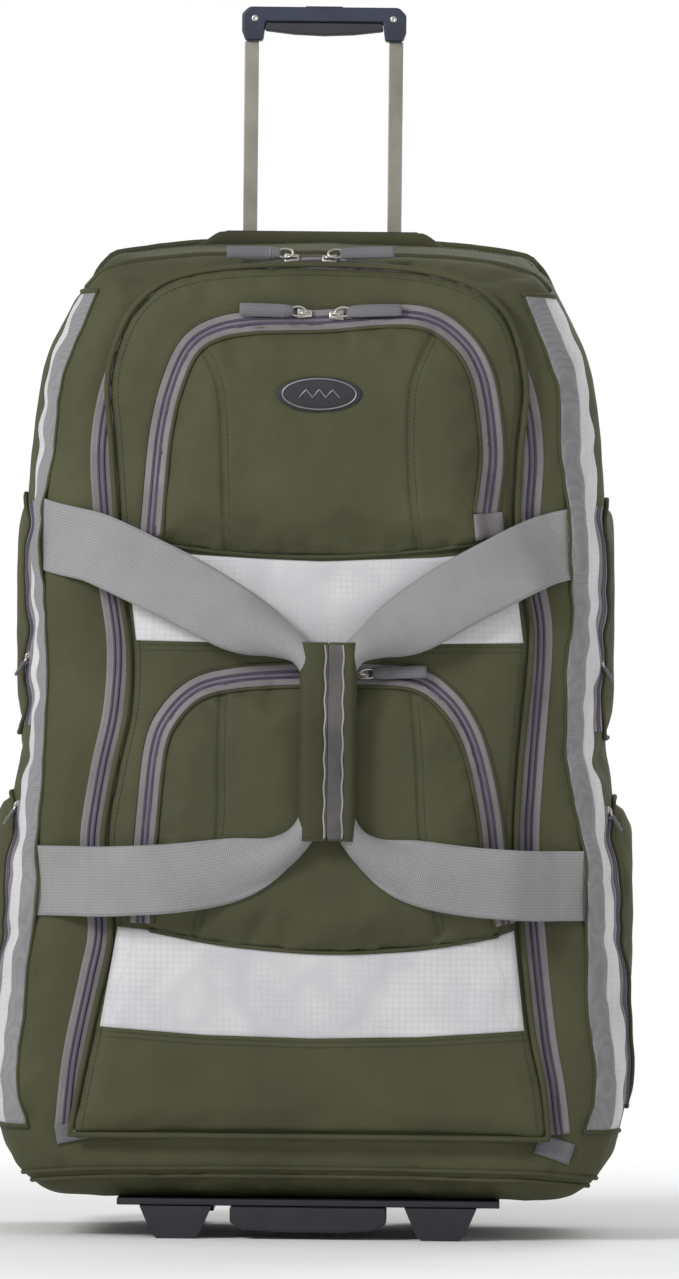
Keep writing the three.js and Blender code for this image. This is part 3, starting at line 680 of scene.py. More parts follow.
def metal(name, colour, rough, brushed=True):
    """Drawn or plated metal with fine lines along its length and faint marks."""
    n = Nodes(name)
    where = n.coordinates()
    stretch = n.add("ShaderNodeMapping", {0: where, 3: (1, 1, 0.02)} if brushed else {0: where}).outputs[0]
    lines = n.noise(stretch, 1400 if brushed else 90, 3)
    marks = n.noise(where, 22, 4)
    dark = tuple(c * 0.72 for c in colour)
    n.use(Base_Color=n.ramp(marks, [(0.25, dark), (0.6, colour)]), Metallic=1.0,
          Roughness=n.scaled(lines, 0.2, rough))
    n.bump(lines, 0.12, 0.1 * MM)
    return n.material


OLIVE = woven_fabric("olive_weave", linear(68, 69, 46), linear(62, 63, 42), linear(76, 77, 52))
OLIVE_TRIM = woven_fabric("olive_binding", linear(64, 64, 43), linear(54, 54, 37), linear(74, 74, 50),
                          0.7 * MM)
RIPSTOP = ripstop("pale_ripstop")
WEBBING = webbing("grey_webbing", linear(142, 142, 142), linear(108, 108, 110))
SIDE_WEBBING = webbing("grey_edge_webbing", linear(130, 131, 132), linear(104, 105, 106), 1.3 * MM)
TAB_WEBBING = webbing("grey_tab_webbing", linear(108, 108, 112), linear(80, 80, 84), 1.2 * MM)
TAPE = plain_tape("zip_tape", linear(124, 120, 121), linear(106, 102, 104))
TAPE_MIDDLE = plain_tape("zip_tape_middle", linear(112, 106, 114), linear(92, 86, 95))
COIL = coil("zip_coil")
OLIVE_GRIP = woven_fabric("olive_grip_weave", linear(58, 58, 38), linear(50, 50, 33), linear(66, 66, 44))
HOOK_TAPE = plain_tape("hook_and_loop", linear(88, 85, 84), linear(62, 60, 60), 0.95)
PLASTIC = moulded_plastic("navy_black_plastic", linear(25, 26, 32), linear(36, 38, 46))
PLASTIC_BLUE = moulded_plastic("blue_black_plastic", linear(36, 40, 56), linear(52, 58, 78), 0.4)
GRIP_RUBBER = rubber("grip_rubber", linear(42, 40, 45))
TYRE_RUBBER = rubber("tyre_rubber", linear(30, 30, 32))
BADGE_RUBBER = rubber("badge_rubber", linear(32, 32, 36))
BADGE_RING = metal("badge_ring", linear(150, 150, 156), 0.35, brushed=False)
TUBE_METAL = metal("tube_metal", linear(168, 164, 152), 0.28)
SLIDER_METAL = metal("slider_metal", linear(196, 192, 186), 0.22, brushed=False)
STITCH = plain_tape("stitch_thread", linear(58, 60, 44), linear(46, 48, 36))
PALE_STITCH = plain_tape("pale_stitch_thread", linear(148, 148, 148), linear(126, 126, 126))

# ------------------------------------------------------------------ camera and light

VIEW_DISTANCE = 10.0
VIEW_AZIMUTH = math.radians(0.6)
VIEW_ROLL = math.radians(0.6)
VIEW_CENTRE = Vector((0.020, 0.0, 0.4985))
VIEW_HEIGHT = 1.0744  # seen at the middle of the bag
FLOOR_HALF = 40.0


def add_camera():
    """A long lens from the front, turned to the view."""
    data = bpy.data.cameras.new("camera")
    data.sensor_fit = "AUTO"
    data.sensor_width = 36
    data.lens = 18 / (VIEW_HEIGHT / 2 / VIEW_DISTANCE)
    camera = bpy.data.objects.new("camera", data)
    bpy.context.scene.collection.objects.link(camera)
    away = Vector((math.sin(VIEW_AZIMUTH), -math.cos(VIEW_AZIMUTH), 0))
    camera.location = VIEW_CENTRE + away * VIEW_DISTANCE
    turn = (-away).to_track_quat("-Z", "Y").to_matrix().to_4x4()
    camera.matrix_world = Matrix.Translation(camera.location) @ turn @ Matrix.Rotation(VIEW_ROLL, 4, "Z")
    bpy.context.scene.camera = camera


def add_light(name, place, target, size, power):
    """A round area lamp turned to its target."""
    data = bpy.data.lights.new(name, "AREA")
    data.shape = "DISK"
    data.size = size
    data.energy = power
    light = bpy.data.objects.new(name, data)
    light.location = place
    light.rotation_euler = (Vector(target) - Vector(place)).to_track_quat("-Z", "Y").to_euler()
    bpy.context.scene.collection.objects.link(light)


LIGHTS = [
    # name, place, target, size, power
    ("key", (-2.3, -2.5, 2.3), (0, 0, 0.5), 1.2, 88),
    ("fill", (2.4, -2.2, 1.2), (0, 0, 0.5), 2.2, 8),
    ("back", (1.2, 2.4, 2.4), (0, 0, 0.6), 1.6, 30),
]
WHITE = (1, 1, 1, 1)


def add_studio():
    """Lamps, a world that the camera sees white, and a pale floor that fades to white."""
    for row in LIGHTS:
        add_light(*row)
    world = bpy.data.worlds.new("studio")
    world.use_nodes = True
    nodes, links = world.node_tree.nodes, world.node_tree.links
    glow = nodes["Background"]
    glow.inputs["Color"].default_value = WHITE
    glow.inputs["Strength"].default_value = 0.55
    seen = nodes.new("ShaderNodeBackground")
    seen.inputs["Color"].default_value = WHITE
    seen.inputs["Strength"].default_value = 1.0
    rays = nodes.new("ShaderNodeLightPath")
    choice = nodes.new("ShaderNodeMixShader")
    links.new(rays.outputs["Is Camera Ray"], choice.inputs[0])
    links.new(glow.outputs[0], choice.inputs[1])
    links.new(seen.outputs[0], choice.inputs[2])
    links.new(choice.outputs[0], nodes["World Output"].inputs[0])
    bpy.context.scene.world = world
    bpy.context.scene.view_settings.view_transform = "Standard"
    n = Nodes("pale_floor")
    where = n.coordinates()
    mottle = n.noise(where, 3, 2)
    n.use(Base_Color=n.ramp(mottle, [(0.3, (0.86, 0.86, 0.86)), (0.7, (0.9, 0.9, 0.9))]), Roughness=0.8)
    away = n.add("ShaderNodeVectorMath", {0: where}, operation="LENGTH").outputs["Value"]
    fade = n.add("ShaderNodeMapRange", {"Value": away, "From Min": 0.45, "From Max": 1.6},
                 interpolation_type="SMOOTHSTEP").outputs[0]
    white = n.add("ShaderNodeEmission", {"Color": WHITE, "Strength": 1.0}).outputs[0]
    blend = n.add("ShaderNodeMixShader", {0: fade, 1: n.shader.outputs[0], 2: white}).outputs[0]
    n.tree.links.new(blend, n.tree.nodes["Material Output"].inputs[0])
    ends = [(x * FLOOR_HALF, y * FLOOR_HALF, 0) for x, y in ((-1, -1), (1, -1), (1, 1), (-1, 1))]
    floor = new_object("floor", ends, [(0, 1, 2, 3)], [n.material], smooth=False)


# ------------------------------------------------------------------ shell


TOP_FALL = 0.1  # how much the top falls for each metre forwards
BACK_ROUND = 9 * MM
FRONT_ROUND = 40 * MM
STRAIGHT_SHARES = (0.1, 0.2, 0.3, 0.4, 0.5, 0.6, 0.7, 0.76, 0.82, 0.88, 0.94)


def shell_outline():
    """The closed (x, z) line round the shell, seen from the front."""
    right = [(x, z) for z, x in SHELL_WIDTHS]
    half = [(0.0, SHELL_BOTTOM), (0.110, SHELL_BOTTOM)] + right + TOP_DOME[:-1]
    left = [(-x, z) for x, z in reversed(half[1:])]
    return resample(spline(half + [TOP_DOME[-1]] + left, 8, closed=True), 6 * MM, closed=True)


def shell_slice(outline, y, inset):
    """The outline at a depth, pulled in, with the top falling towards the front."""
    ring = []
    for p in outline:
        x, z = p
        top = clamp((z - 0.740) / 0.090)
        bottom = clamp((0.130 - z) / (0.130 - SHELL_BOTTOM))
        fall = top * TOP_FALL * (SHELL_BACK - y)
        low_side = clamp((z - 0.10) / 0.05) * (1 - top)
        pull = min(1, abs(x) / 0.120) * (1 if x > 0 else -1) * (inset - low_side * side_bulge(y))
        ring.append(Vector((x - pull, y, z - fall - top * inset * 0.3 + bottom * inset * 0.9)))
    return ring


def cut_for_wheels(shell):
    """Opens the shell where the wheel housings stand in it."""
    for word in ("left", "right"):
        low, high = corners(f"{word}_runner")
        wheel_low, _ = corners(f"{word}_tyre")
        centre = ((low.x + high.x) / 2, wheel_low.y + 0.1 - 6 * MM, high.z - 0.1 - 2 * MM)
        block = bevelled_block((high.x - low.x - 3 * MM, 0.2, 0.2), OLIVE, 4 * MM, centre)
        apply_modifier(shell, "BOOLEAN", operation="DIFFERENCE", object=block, solver="EXACT")
        bpy.data.objects.remove(block, do_unlink=True)


def make_shell():
    """The soft shell: puffed between its seams, folded, and open where the wheels stand."""
    outline = shell_outline()
    front = SHELL_FRONT + FRONT_ROUND
    back = SHELL_BACK - BACK_ROUND
    places = [(SHELL_BACK - BACK_ROUND * share, BACK_ROUND * (1 - share) ** 2)
              for share in (0, 0.15, 0.4, 0.7, 1)]
    length = front - SHELL_BACK + BACK_ROUND
    places += [(back + length * share, 0) for share in STRAIGHT_SHARES]
    for degrees in range(0, 91, 10):
        angle = math.radians(degrees)
        places.append((front - math.sin(angle) * FRONT_ROUND, (1 - math.cos(angle)) * FRONT_ROUND))
    rings = [shell_slice(outline, y, inset) for y, inset in places]
    shell = skin("bag_shell", rings, [OLIVE])

    def pinned(p):
        if p.y > SHELL_BACK - 22 * MM or p.y < SHELL_FRONT + 1 * MM or p.z < SHELL_BOTTOM + 4 * MM:
            return 1.0
        if p.z > SHELL_TOP - 14 * MM:
            return 0.8
        seam = abs(abs(p.x) - shell_width(p.z) + 14 * MM) + abs(p.y - SHELL_FRONT - 14 * MM)
        return 0.9 if seam < 10 * MM else 0.0

    puff(shell, 8 * MM, 3.0, 5 * MM, pinned, slack=0.02, frames=16)

    def folds(co, normal):
        low = math.exp(-((co.z - 0.105) / 0.05) ** 2)
        high = math.exp(-((co.z - 0.43) / 0.07) ** 2)
        side = 1.0 if abs(normal.y) < 0.92 else 0.55
        strength = 1.0 + 3.0 * low + 2.4 * high
        if co.y > SHELL_BACK - 25 * MM:
            strength = 0.25
        stretched = Vector((co.x * 1.4, co.y * 1.2, co.z * 0.8))
        return creases(stretched, 0.075, 3) * strength * side * MM

    press(shell, folds)
    cut_for_wheels(shell)
    settle(shell, "bag", "olive_fabric", *SHELL_NODES)
    return shell


# ------------------------------------------------------------------ flap and pockets


def flap_outline():
    """The (x, z) line up the flap's left side and down its right."""
    left = [(-x, z) for x, z in FLAP_LEFT]
    return resample(spline(left + [(0.0, flap_high.z)] + FLAP_RIGHT[::-1], 8), 5 * MM)


def pad_rings(outline, profile, back):
    """Rings from the outline inwards: each profile row is (inset, height off the back)."""
    xs = [p.x for p in outline]
    zs = [p.y for p in outline]
    middle = Vector(((min(xs) + max(xs)) / 2, (min(zs) + max(zs)) / 2))
    half = Vector(((max(xs) - min(xs)) / 2, (max(zs) - min(zs)) / 2))
    rings = []
    for inset, height in profile:
        ring = []
        for p in outline:
            x = middle.x + (p.x - middle.x) * (1 - inset / half.x)
            z = middle.y + (p.y - middle.y) * (1 - inset / half.y)
            ring.append(Vector((x, back - height, z)))
        rings.append(ring)
    return rings


def padded_panel(name, outline, profile, back, node, voxel, pressure, cap, slack, change, under=None):
    """A puffed pad with a flat back, laid over the curve of the pad under it where there is one."""
    pad = skin(name, pad_rings(outline, profile, back), [OLIVE])

    def pinned(p):
        return 1.0 if p.y > back - 2.5 * MM else 0.0

    puff(pad, voxel, pressure, cap, pinned, slack)
    press(pad, change)
    if under:
        for v in pad.data.vertices:
            v.co.y += on_front(under, v.co.x, v.co.z)[0].y - FLAP_FRONT
        pad.data.update()
    settle(pad, "bag", "olive_fabric", node)
    return pad


def close_bottom(line, bottom):
    """An arch closed below by a bowed seam."""
    whole = list(line) + resample(spline(bottom, 8), 5 * MM)
    return resample(whole, 5 * MM, closed=True)


# The flap's crown: inset from the edge, height as a share of its thickness.
FLAP_CROWN = [
    (0, 0), (0, 0.3), (1.5 * MM, 0.5), (5 * MM, 0.66), (14 * MM, 0.76), (40 * MM, 0.84), (90 * MM, 0.88),
]


def make_flap():
    """The padded front flap."""
    profile = [(inset, share * (FLAP_BACK - FLAP_FRONT)) for inset, share in FLAP_CROWN]
    whole = resample(flap_outline(), 5 * MM, closed=True)

    def change(co, normal):
        if normal.y > -0.2:
            return 0.0
        edge = min(1, min(abs(co.z - 0.086), abs(abs(co.x) - 0.17)) / 0.03)
        return creases(Vector((co.x, 0, co.z * 0.8)), 0.08, 9) * (0.8 + 1.0 * edge) * MM

    return padded_panel("front_flap_pad", whole, profile, FLAP_BACK, "front_flap",
                        6 * MM, 2.0, 3 * MM, 0.01, change)


# A pocket's crown: inset from the edge, height as a share of its thickness.
POCKET_CROWN = [
    (0, 0), (0, 0.11), (1.5 * MM, 0.19), (5 * MM, 0.36), (10 * MM, 0.56), (16 * MM, 0.72), (24 * MM, 0.8),
    (45 * MM, 0.86),
]
# Each front pocket: zip arch, lower edge, its two sewn darts, seed and depth of its folds.
FRONT_POCKETS = {
    "upper_pocket": (UPPER_ARCH, UPPER_BOTTOM, (
        [(-0.097, 0.742), (-0.085, 0.722), (-0.078, 0.695), (-0.075, 0.640), (-0.073, 0.569)],
        [(0.099, 0.756), (0.086, 0.728), (0.079, 0.700), (0.079, 0.640), (0.086, 0.569)]), 21, 1.1 * MM),
    "lower_pocket": (LOWER_ARCH, LOWER_BOTTOM, (
        [(-0.075, 0.452), (-0.076, 0.400), (-0.077, 0.332), (-0.096, 0.250)],
        [(0.083, 0.455), (0.088, 0.400), (0.092, 0.335), (0.108, 0.255)]), 33, 1.2 * MM),
}


def make_front_pocket(name, flap_tree):
    """The padded front pocket of one name, and its dart lines."""
    arch, bottom, darts, seed, folds = FRONT_POCKETS[name]
    outline = close_bottom(resample(spline(arch, 8), 5 * MM), bottom)
    seams = [spline(dart, 6) for dart in darts]
    dips = seam_dips(seams, 1.8 * MM, 3 * MM)
    back = FLAP_FRONT + 1.0 * MM
    profile = [(inset, share * (back - POCKET_FRONT)) for inset, share in POCKET_CROWN]

    def change(co, normal):
        return dips(co, normal) + creases(Vector((co.x, 0, co.z * 0.7)), 0.07, seed) * folds

    pad = padded_panel(name + "_pad", outline, profile, back, name, 5 * MM, 4.0, 5 * MM, 0.015,
                       change, flap_tree)
    return pad, seams


# ------------------------------------------------------------------ laid strips


BACK_STEPS = 8  # columns of a strip's back
BACK_LIFT = -0.6 * MM


def laid_strip(name, left_line, right_line, place, profile, materials, kinds):
    """A strip between two lines of equal count. place(point, lift) lays a point on a surface.
    profile rows are (share across, lift); the back is closed just under the surface."""
    rings = []
    uvs = []
    length = 0.0
    before = None
    width = (Vector(left_line[0]) - Vector(right_line[0])).length
    for a, b in zip(left_line, right_line):
        a, b = Vector(a), Vector(b)
        middle = (a + b) / 2
        length += (middle - before).length if before is not None else 0.0
        before = middle
        ring = [place(a.lerp(b, share), lift) for share, lift in profile]
        ring += [place(b.lerp(a, share), BACK_LIFT) for share in shares(BACK_STEPS)]
        rings.append(ring)
        uvs += [(length, share * width) for share, _ in profile]
        uvs += [(length, width * (1 - share)) for share in shares(BACK_STEPS)]
    all_kinds = list(kinds) + [0] * (len(rings[0]) - len(kinds))
    return skin(name, rings, materials, face_materials=all_kinds, uvs=uvs)


ZIP_PROFILE = [
    (0.0, 0.2 * MM), (0.02, 0.9 * MM), (0.12, 1.0 * MM), (0.21, 1.0 * MM), (0.30, 1.0 * MM), (0.33, 1.5 * MM),
    (0.375, 2.1 * MM), (0.42, 1.5 * MM), (0.44, 1.2 * MM), (0.50, 1.5 * MM), (0.56, 1.2 * MM),
    (0.58, 1.5 * MM), (0.625, 2.1 * MM), (0.67, 1.5 * MM), (0.70, 1.0 * MM), (0.79, 1.0 * MM),
    (0.88, 1.0 * MM), (0.98, 0.9 * MM), (1.0, 0.2 * MM),
]
ZIP_KINDS = [0, 0, 0, 0, 2, 2, 2, 2, 1, 1, 2, 2, 2, 2, 0, 0, 0, 0]


EASE_REACH = 3.5 * MM


def soft_place(tree):
    """Like front_place, but eased over steps in the surface and raised straight forwards."""
    def place(point, lift):
        depth = on_front(tree, point.x, point.y)[0].y
        around = [on_front(tree, point.x + EASE_REACH * a, point.y + EASE_REACH * b)[0].y
                  for a, b in ((1, 0), (-1, 0), (0, 1), (0, -1))]
        mean = (2 * depth + sum(around)) / 6
        return Vector((point.x, min(depth, mean) - 1.2 * lift, point.y))
    return place


def zip_strip(name, line, place, width, node):
    """A closed zip along a flat line: two tapes with the coils between them."""
    made = laid_strip(name, sides(line, width / 2), sides(line, -width / 2), place, ZIP_PROFILE,
                      [TAPE, TAPE_MIDDLE, COIL], ZIP_KINDS)
    return settle(made, "bag", "grey_zip_tape", node)


def front_place(tree):
    """A place() for strips on the front of a surface."""
    def place(point, lift):
        return on_front(tree, point.x, point.y, lift)[0]
    return place


def fabric_strip(name, lines, place, thickness, material, slot_name, columns=6):
    """A flat strip of one fabric between two lines, with softly rounded edges."""
    profile = [(0.0, 0.1 * thickness), (0.015, thickness)]
    profile += [(i / columns, thickness) for i in range(1, columns)]
    profile += [(0.985, thickness), (1.0, 0.1 * thickness)]
    made = laid_strip(name, lines[0], lines[1], place, profile, [material], [])
    return settle(made, "bag", slot_name)


def piping(name, line, radius=PIPE, closed=False):
    """A round cord covered in the bag's binding."""
    return settle(rod(name, line, radius, [OLIVE_TRIM], closed=closed), "bag", "olive_fabric")


STITCH_LENGTH = 2.6 * MM
STITCH_GAP = 1.6 * MM
STITCH_RADIUS = 0.35 * MM
STITCH_LIFT = 0.3 * MM


def stitches(name, line):
    """A row of short thread stitches along a line that lies on a surface."""
    points = resample(line, 1 * MM)
    vertices = []
    faces = []
    step = round((STITCH_LENGTH + STITCH_GAP) / MM)
    span = round(STITCH_LENGTH / MM)
    for i in range(0, len(points) - span, step):
        a, b = points[i], points[i + span]
        along = (b - a).normalized()
        side = along.orthogonal().normalized()
        up = along.cross(side)
        start = len(vertices)
        for end, shrink in ((a, 0.4), (a.lerp(b, 0.25), 1), (a.lerp(b, 0.75), 1), (b, 0.4)):
            for turn in round_turn(4):
                vertices.append(end + (side * math.cos(turn) + up * math.sin(turn)) * STITCH_RADIUS * shrink)
        for ring in range(3):
            for k in range(4):
                j = (k + 1) % 4
                a0 = start + ring * 4
                faces.append((a0 + k, a0 + j, a0 + 4 + j, a0 + 4 + k))
        faces.append((start + 3, start + 2, start + 1, start))
        faces.append((start + 12, start + 13, start + 14, start + 15))
    return settle(new_object(name, vertices, faces, [STITCH]), "bag", "olive_fabric")


# ------------------------------------------------------------------ main zip, bands and piping

# Half width of the main zip's middle line at a height, up each side.
MAIN_ZIP_LEFT = [(0.202, 0.090), (0.196, 0.150), (0.183, 0.215), (0.176, 0.255), (0.181, 0.300),
                 (0.183, 0.335), (0.175, 0.390), (0.165, 0.440), (0.163, 0.495), (0.171, 0.550),
                 (0.175, 0.600), (0.178, 0.655), (0.170, 0.706), (0.151, 0.751), (0.132, 0.776),
                 (0.106, 0.791), (0.066, 0.803)]
MAIN_ZIP_RIGHT = [(0.208, 0.090), (0.203, 0.130), (0.195, 0.174), (0.185, 0.262), (0.180, 0.332),
                  (0.183, 0.400), (0.189, 0.500), (0.182, 0.550), (0.178, 0.600), (0.180, 0.655),
                  (0.172, 0.706), (0.151, 0.753), (0.132, 0.777), (0.108, 0.791), (0.070, 0.803)]
MAIN_ZIP_TOP = 0.811
WELT_REACH = 0.125  # the welt ends this far to each side of the middle
WELT_RADIUS = 7.5 * MM
WELT_BEHIND = 11.5 * MM  # from the middle of the sliders back to the middle of the welt


def make_main_zip(shell):
    """The zip round the front opening. Over the top it lies on a raised welt of fabric."""
    left = [(-x, z) for x, z in MAIN_ZIP_LEFT]
    right = [(x, z) for x, z in reversed(MAIN_ZIP_RIGHT)]
    line = resample(spline(left + [(0.0, MAIN_ZIP_TOP)] + right, 8), 3 * MM)
    top = [p for p in line if abs(p.x) < WELT_REACH and p.y > 0.5]
    slider_low, slider_high = corners("main_left_slider")
    depth = (slider_low.y + slider_high.y) / 2 + WELT_BEHIND
    rings = []
    for p in top:
        radius = WELT_RADIUS * min(1.0, 0.25 + (WELT_REACH - abs(p.x)) / (30 * MM))
        rings.append([Vector((p.x, depth + 1.1 * radius * math.cos(t), p.y - 1 * MM + radius * math.sin(t)))
                      for t in round_turn(18)])
    welt = skin("main_zip_welt", rings, [OLIVE_TRIM])
    settle(welt, "bag", "olive_fabric")
    tree = tree_of(shell, welt)

    def place(point, lift):
        seen = on_front(tree, point.x, point.y)[0].y
        start = Vector((point.x, min(seen, depth - 1.2 * WELT_RADIUS), point.y))
        hit, normal, _, _ = tree.find_nearest(start)
        return hit + normal * lift

    return zip_strip("main_zip_track", line, place, ZIP_WIDTH, "main_zip")


FLAP_PIPING_FRONT = 9 * MM  # in front of the flap's back
FLAP_STITCH_INSET = 9 * MM


def make_flap_trim(flap_tree):
    """The piping round the flap and the stitch row inside it."""
    outline = flap_outline()
    edge = [Vector((p.x, FLAP_BACK - FLAP_PIPING_FRONT, p.y)) for p in outline]
    across = [edge[-1].lerp(edge[0], share) for share in shares(60)[1:-1]]
    piping("flap_piping", edge + across, closed=True)
    inner = [on_front(flap_tree, p.x, p.y, 0.4 * MM)[0] for p in sides(outline, -FLAP_STITCH_INSET)]
    stitches("flap_edge_stitches", inner)


WALL_FRONT = FLAP_BACK - 4 * MM
WALL_THICK = 3 * MM
WALL_DEEPEST = FLAP_BACK + 30 * MM


def make_flap_wall(shell_tree):
    """The fabric wall that joins the flap to the shell behind it, all round."""
    rings = []
    for p in sides(resample(flap_outline(), 5 * MM, closed=True), -5 * MM):
        surface = on_front(shell_tree, p.x, p.y)[0].y
        back = min(surface + WALL_THICK, WALL_DEEPEST)
        bulge = 0.6 * MM * creases(Vector((p.x, 0, p.y)), 0.05, 3)
        inner = Vector(((abs(p.x) - WALL_THICK) * (1 if p.x > 0 else -1), 0, p.y - 2 * MM))
        outer = Vector((p.x + bulge, 0, p.y))
        rows = [(outer, WALL_FRONT), (outer, FLAP_BACK), (outer, (FLAP_BACK + back) / 2), (outer, back),
                (inner, back), (inner, WALL_FRONT)]
        rings.append([Vector((q.x, y, q.z)) for q, y in rows])
    wall = skin("flap_wall", rings + rings[:1], [OLIVE], caps=False)
    weld(wall)
    settle(wall, "bag", "olive_fabric")


def flap_half(z, side):
    """Half width of the flap at a height."""
    rows = FLAP_LEFT if side < 0 else FLAP_RIGHT
    return table([(height, x) for x, height in rows], z)


def across_flap(z, margin, share):
    """The (x, z) point a share of the way across the flap, between margins from its edges."""
    left = -flap_half(z, -1) + margin
    right = flap_half(z, 1) - margin
    return Vector((left + (right - left) * share, z))


# Height of the lower and of the upper edge of each ripstop band, at a share across the flap.
WHITE_BANDS = {
    "upper": ([(0.0, 0.496), (0.5, 0.494), (1.0, 0.497)],
              [(0.0, 0.571), (0.2, 0.567), (0.5, 0.563), (0.8, 0.567), (1.0, 0.573)]),
    "lower": ([(0.0, 0.176), (0.25, 0.170), (0.5, 0.168), (0.75, 0.170), (1.0, 0.176)],
              [(0.0, 0.259), (0.08, 0.2565), (0.27, 0.2455), (0.52, 0.2395), (0.76, 0.2435),
               (0.96, 0.2545), (1.0, 0.259)]),
}
BAND_MARGIN = 7 * MM
BAND_THICK = 0.9 * MM


def make_white_bands(flap_tree):
    """Two ripstop bands sewn across the flap, each with two stitch rows under it."""
    for name, edges in WHITE_BANDS.items():
        left, right = ([across_flap(table(edge, share), BAND_MARGIN, share) for share in shares(70)]
                       for edge in edges)
        band = fabric_strip(name + "_white_band", (left, right), soft_place(flap_tree), BAND_THICK, RIPSTOP,
                            "grey_webbing", columns=18)
    place = front_place(flap_tree)
    for name, (edge, _) in WHITE_BANDS.items():
        for k, drop in enumerate((3 * MM, 7.5 * MM)):
            row = [across_flap(table(edge, share) - drop, 5 * MM, share) for share in shares(60)]
            stitches(f"{name}_band_seam_{k}", [place(p, STITCH_LIFT) for p in row])


def make_pocket_trim(name, tree, seams):
    """A front pocket's zip with the folds beside it, and the stitches of its darts."""
    place = soft_place(tree)
    line = resample(spline(FRONT_POCKETS[name][0], 8), 3 * MM)
    track = zip_strip(name + "_zip_track", line, place, ZIP_WIDTH, name + "_zip")
    inner = [place(p, 1.2 * MM) for p in sides(line, -10 * MM)]
    piping(name + "_zip_fold", inner, radius=1.6 * MM)
    outer = [place(p, 0.8 * MM) for p in sides(line, 9.6 * MM)]
    piping(name + "_outer_fold", outer, radius=1.1 * MM)
    for k, seam in enumerate(seams):
        for way in (-3.2 * MM, 3.2 * MM):
            row = [place(p, STITCH_LIFT) for p in sides(seam, way)]
            stitches(f"{name}_dart_{k}_{'a' if way < 0 else 'b'}", row)
    return track


def make_hem(name, tree):
    """The folded lower edge of a pocket, with its stitch row."""
    place = soft_place(tree)
    line = resample(spline(FRONT_POCKETS[name][1], 8), 4 * MM)
    piping(name + "_hem", [place(p + Vector((0, 2.5 * MM)), 0.7 * MM) for p in line], radius=2.0 * MM)
    stitches(name + "_hem_stitches", [place(p + Vector((0, 5 * MM)), STITCH_LIFT) for p in line])


ANCHOR_HEIGHTS = (0.583, 0.296)  # where the carry loops are sewn in
ANCHOR_BUMP = 5.0 * MM
ANCHOR_REACH = 34 * MM

# How far round the front corner, in degrees from the side, each webbing band starts at a height.
BAND_EDGES = {
    -1: [(0.09, 50), (0.296, 55), (0.45, 38), (0.583, 32), (0.70, 34), (0.79, 42)],
    1: [(0.09, 60), (0.296, 57), (0.45, 58), (0.583, 56), (0.70, 58), (0.79, 62)],
}
BAND_TURN = {-1: 25, 1: 28}  # how much of the corner the webbing band covers
BAND_BACK = -3  # the ripstop band ends this far behind the corner


SIDE_BAND_BOTTOM, SIDE_BAND_TOP = 0.092, 0.786
SIDE_BAND_STEPS = 150
WEBBING_THICK = 1.6 * MM
RIPSTOP_THICK = 1.0 * MM


def band_edge(side, z):
    """Where the webbing band starts, with a slight wave."""
    wave = 2.2 * math.sin(z * 31 + side) + 1.5 * math.sin(z * 67 + 1.3)
    return table(BAND_EDGES[side], z) + wave


def anchor_bump(z):
    """How much the side bands rise over the sewn-in ends of the carry loops."""
    return ANCHOR_BUMP * sum(math.exp(-((z - anchor) / ANCHOR_REACH) ** 4) for anchor in ANCHOR_HEIGHTS)


def make_side_bands(side, tree):
    """The webbing band and the ripstop band round a front corner, from boot to top."""
    word = side_word(side)
    bottom, top = SIDE_BAND_BOTTOM, SIDE_BAND_TOP
    heights = [bottom + (top - bottom) * share for share in shares(SIDE_BAND_STEPS)]
    turn = BAND_TURN[side]
    bands = [("webbing", 0, turn, SIDE_WEBBING, WEBBING_THICK),
             ("ripstop", turn, None, RIPSTOP, RIPSTOP_THICK)]
    for kind, start, end, material, thickness in bands:
        left = [Vector((z, band_edge(side, z) - start)) for z in heights]
        right = [Vector((z, BAND_BACK if end is None else band_edge(side, z) - end)) for z in heights]

        def place(point, lift):
            z, degrees = point
            inside = (degrees - band_edge(side, z) + turn) / turn
            bump = anchor_bump(z) * clamp(inside / 0.25)
            ripple = 0.5 * MM * math.sin(z * 190 + degrees * 0.05)
            if degrees >= 0:
                return round_corner(tree, side, z, degrees, lift + bump + ripple)
            y = CORNER_Y - math.radians(degrees) * CORNER
            return on_side(tree, side, y, z, lift + bump + ripple)

        made = fabric_strip(f"{word}_side_{kind}", (left, right), place, thickness, material,
                            "grey_webbing", columns=8)
        measured_uv(made)
    edge = [round_corner(tree, side, z, band_edge(side, z) + 1, anchor_bump(z) + 0.5 * MM) for z in heights]
    piping(f"{word}_side_fold", edge, radius=1.2 * MM)
    for level, z in (("top", top), ("bottom", bottom)):
        last = band_edge(side, z) + 3
        seam = [round_corner(tree, side, z, last * share, 0.8 * MM) for share in shares(20)]
        seam.insert(0, on_side(tree, side, CORNER_Y + 4 * MM, z, 0.8 * MM))
        piping(f"{word}_band_{level}_seam", seam, radius=2.2 * MM)


def measured_uv(obj):
    """U from the height and V from the turn round the corner, both in metres."""
    layer = obj.data.uv_layers["UVMap"]
    for loop in obj.data.loops:
        co = obj.data.vertices[loop.vertex_index].co
        layer.data[loop.index].uv = (co.z, abs(co.x) - co.y)


def on_seam(tree, outline, y, lift):
    """A closed line round the shell at a depth, laid on its surface."""
    line = []
    for p in shell_slice(outline, y, 0):
        hit, normal, _, _ = tree.find_nearest(p)
        line.append(hit + normal * lift)
    return line


BACK_SEAM_Y, BACK_STITCH_Y, RIM_SEAM_Y = 0.140, 0.118, -0.082
BOOT_SEAM_Z = 0.053
BOOT_STRAIGHT = 0.86  # share of the boot's seam in front of the corners


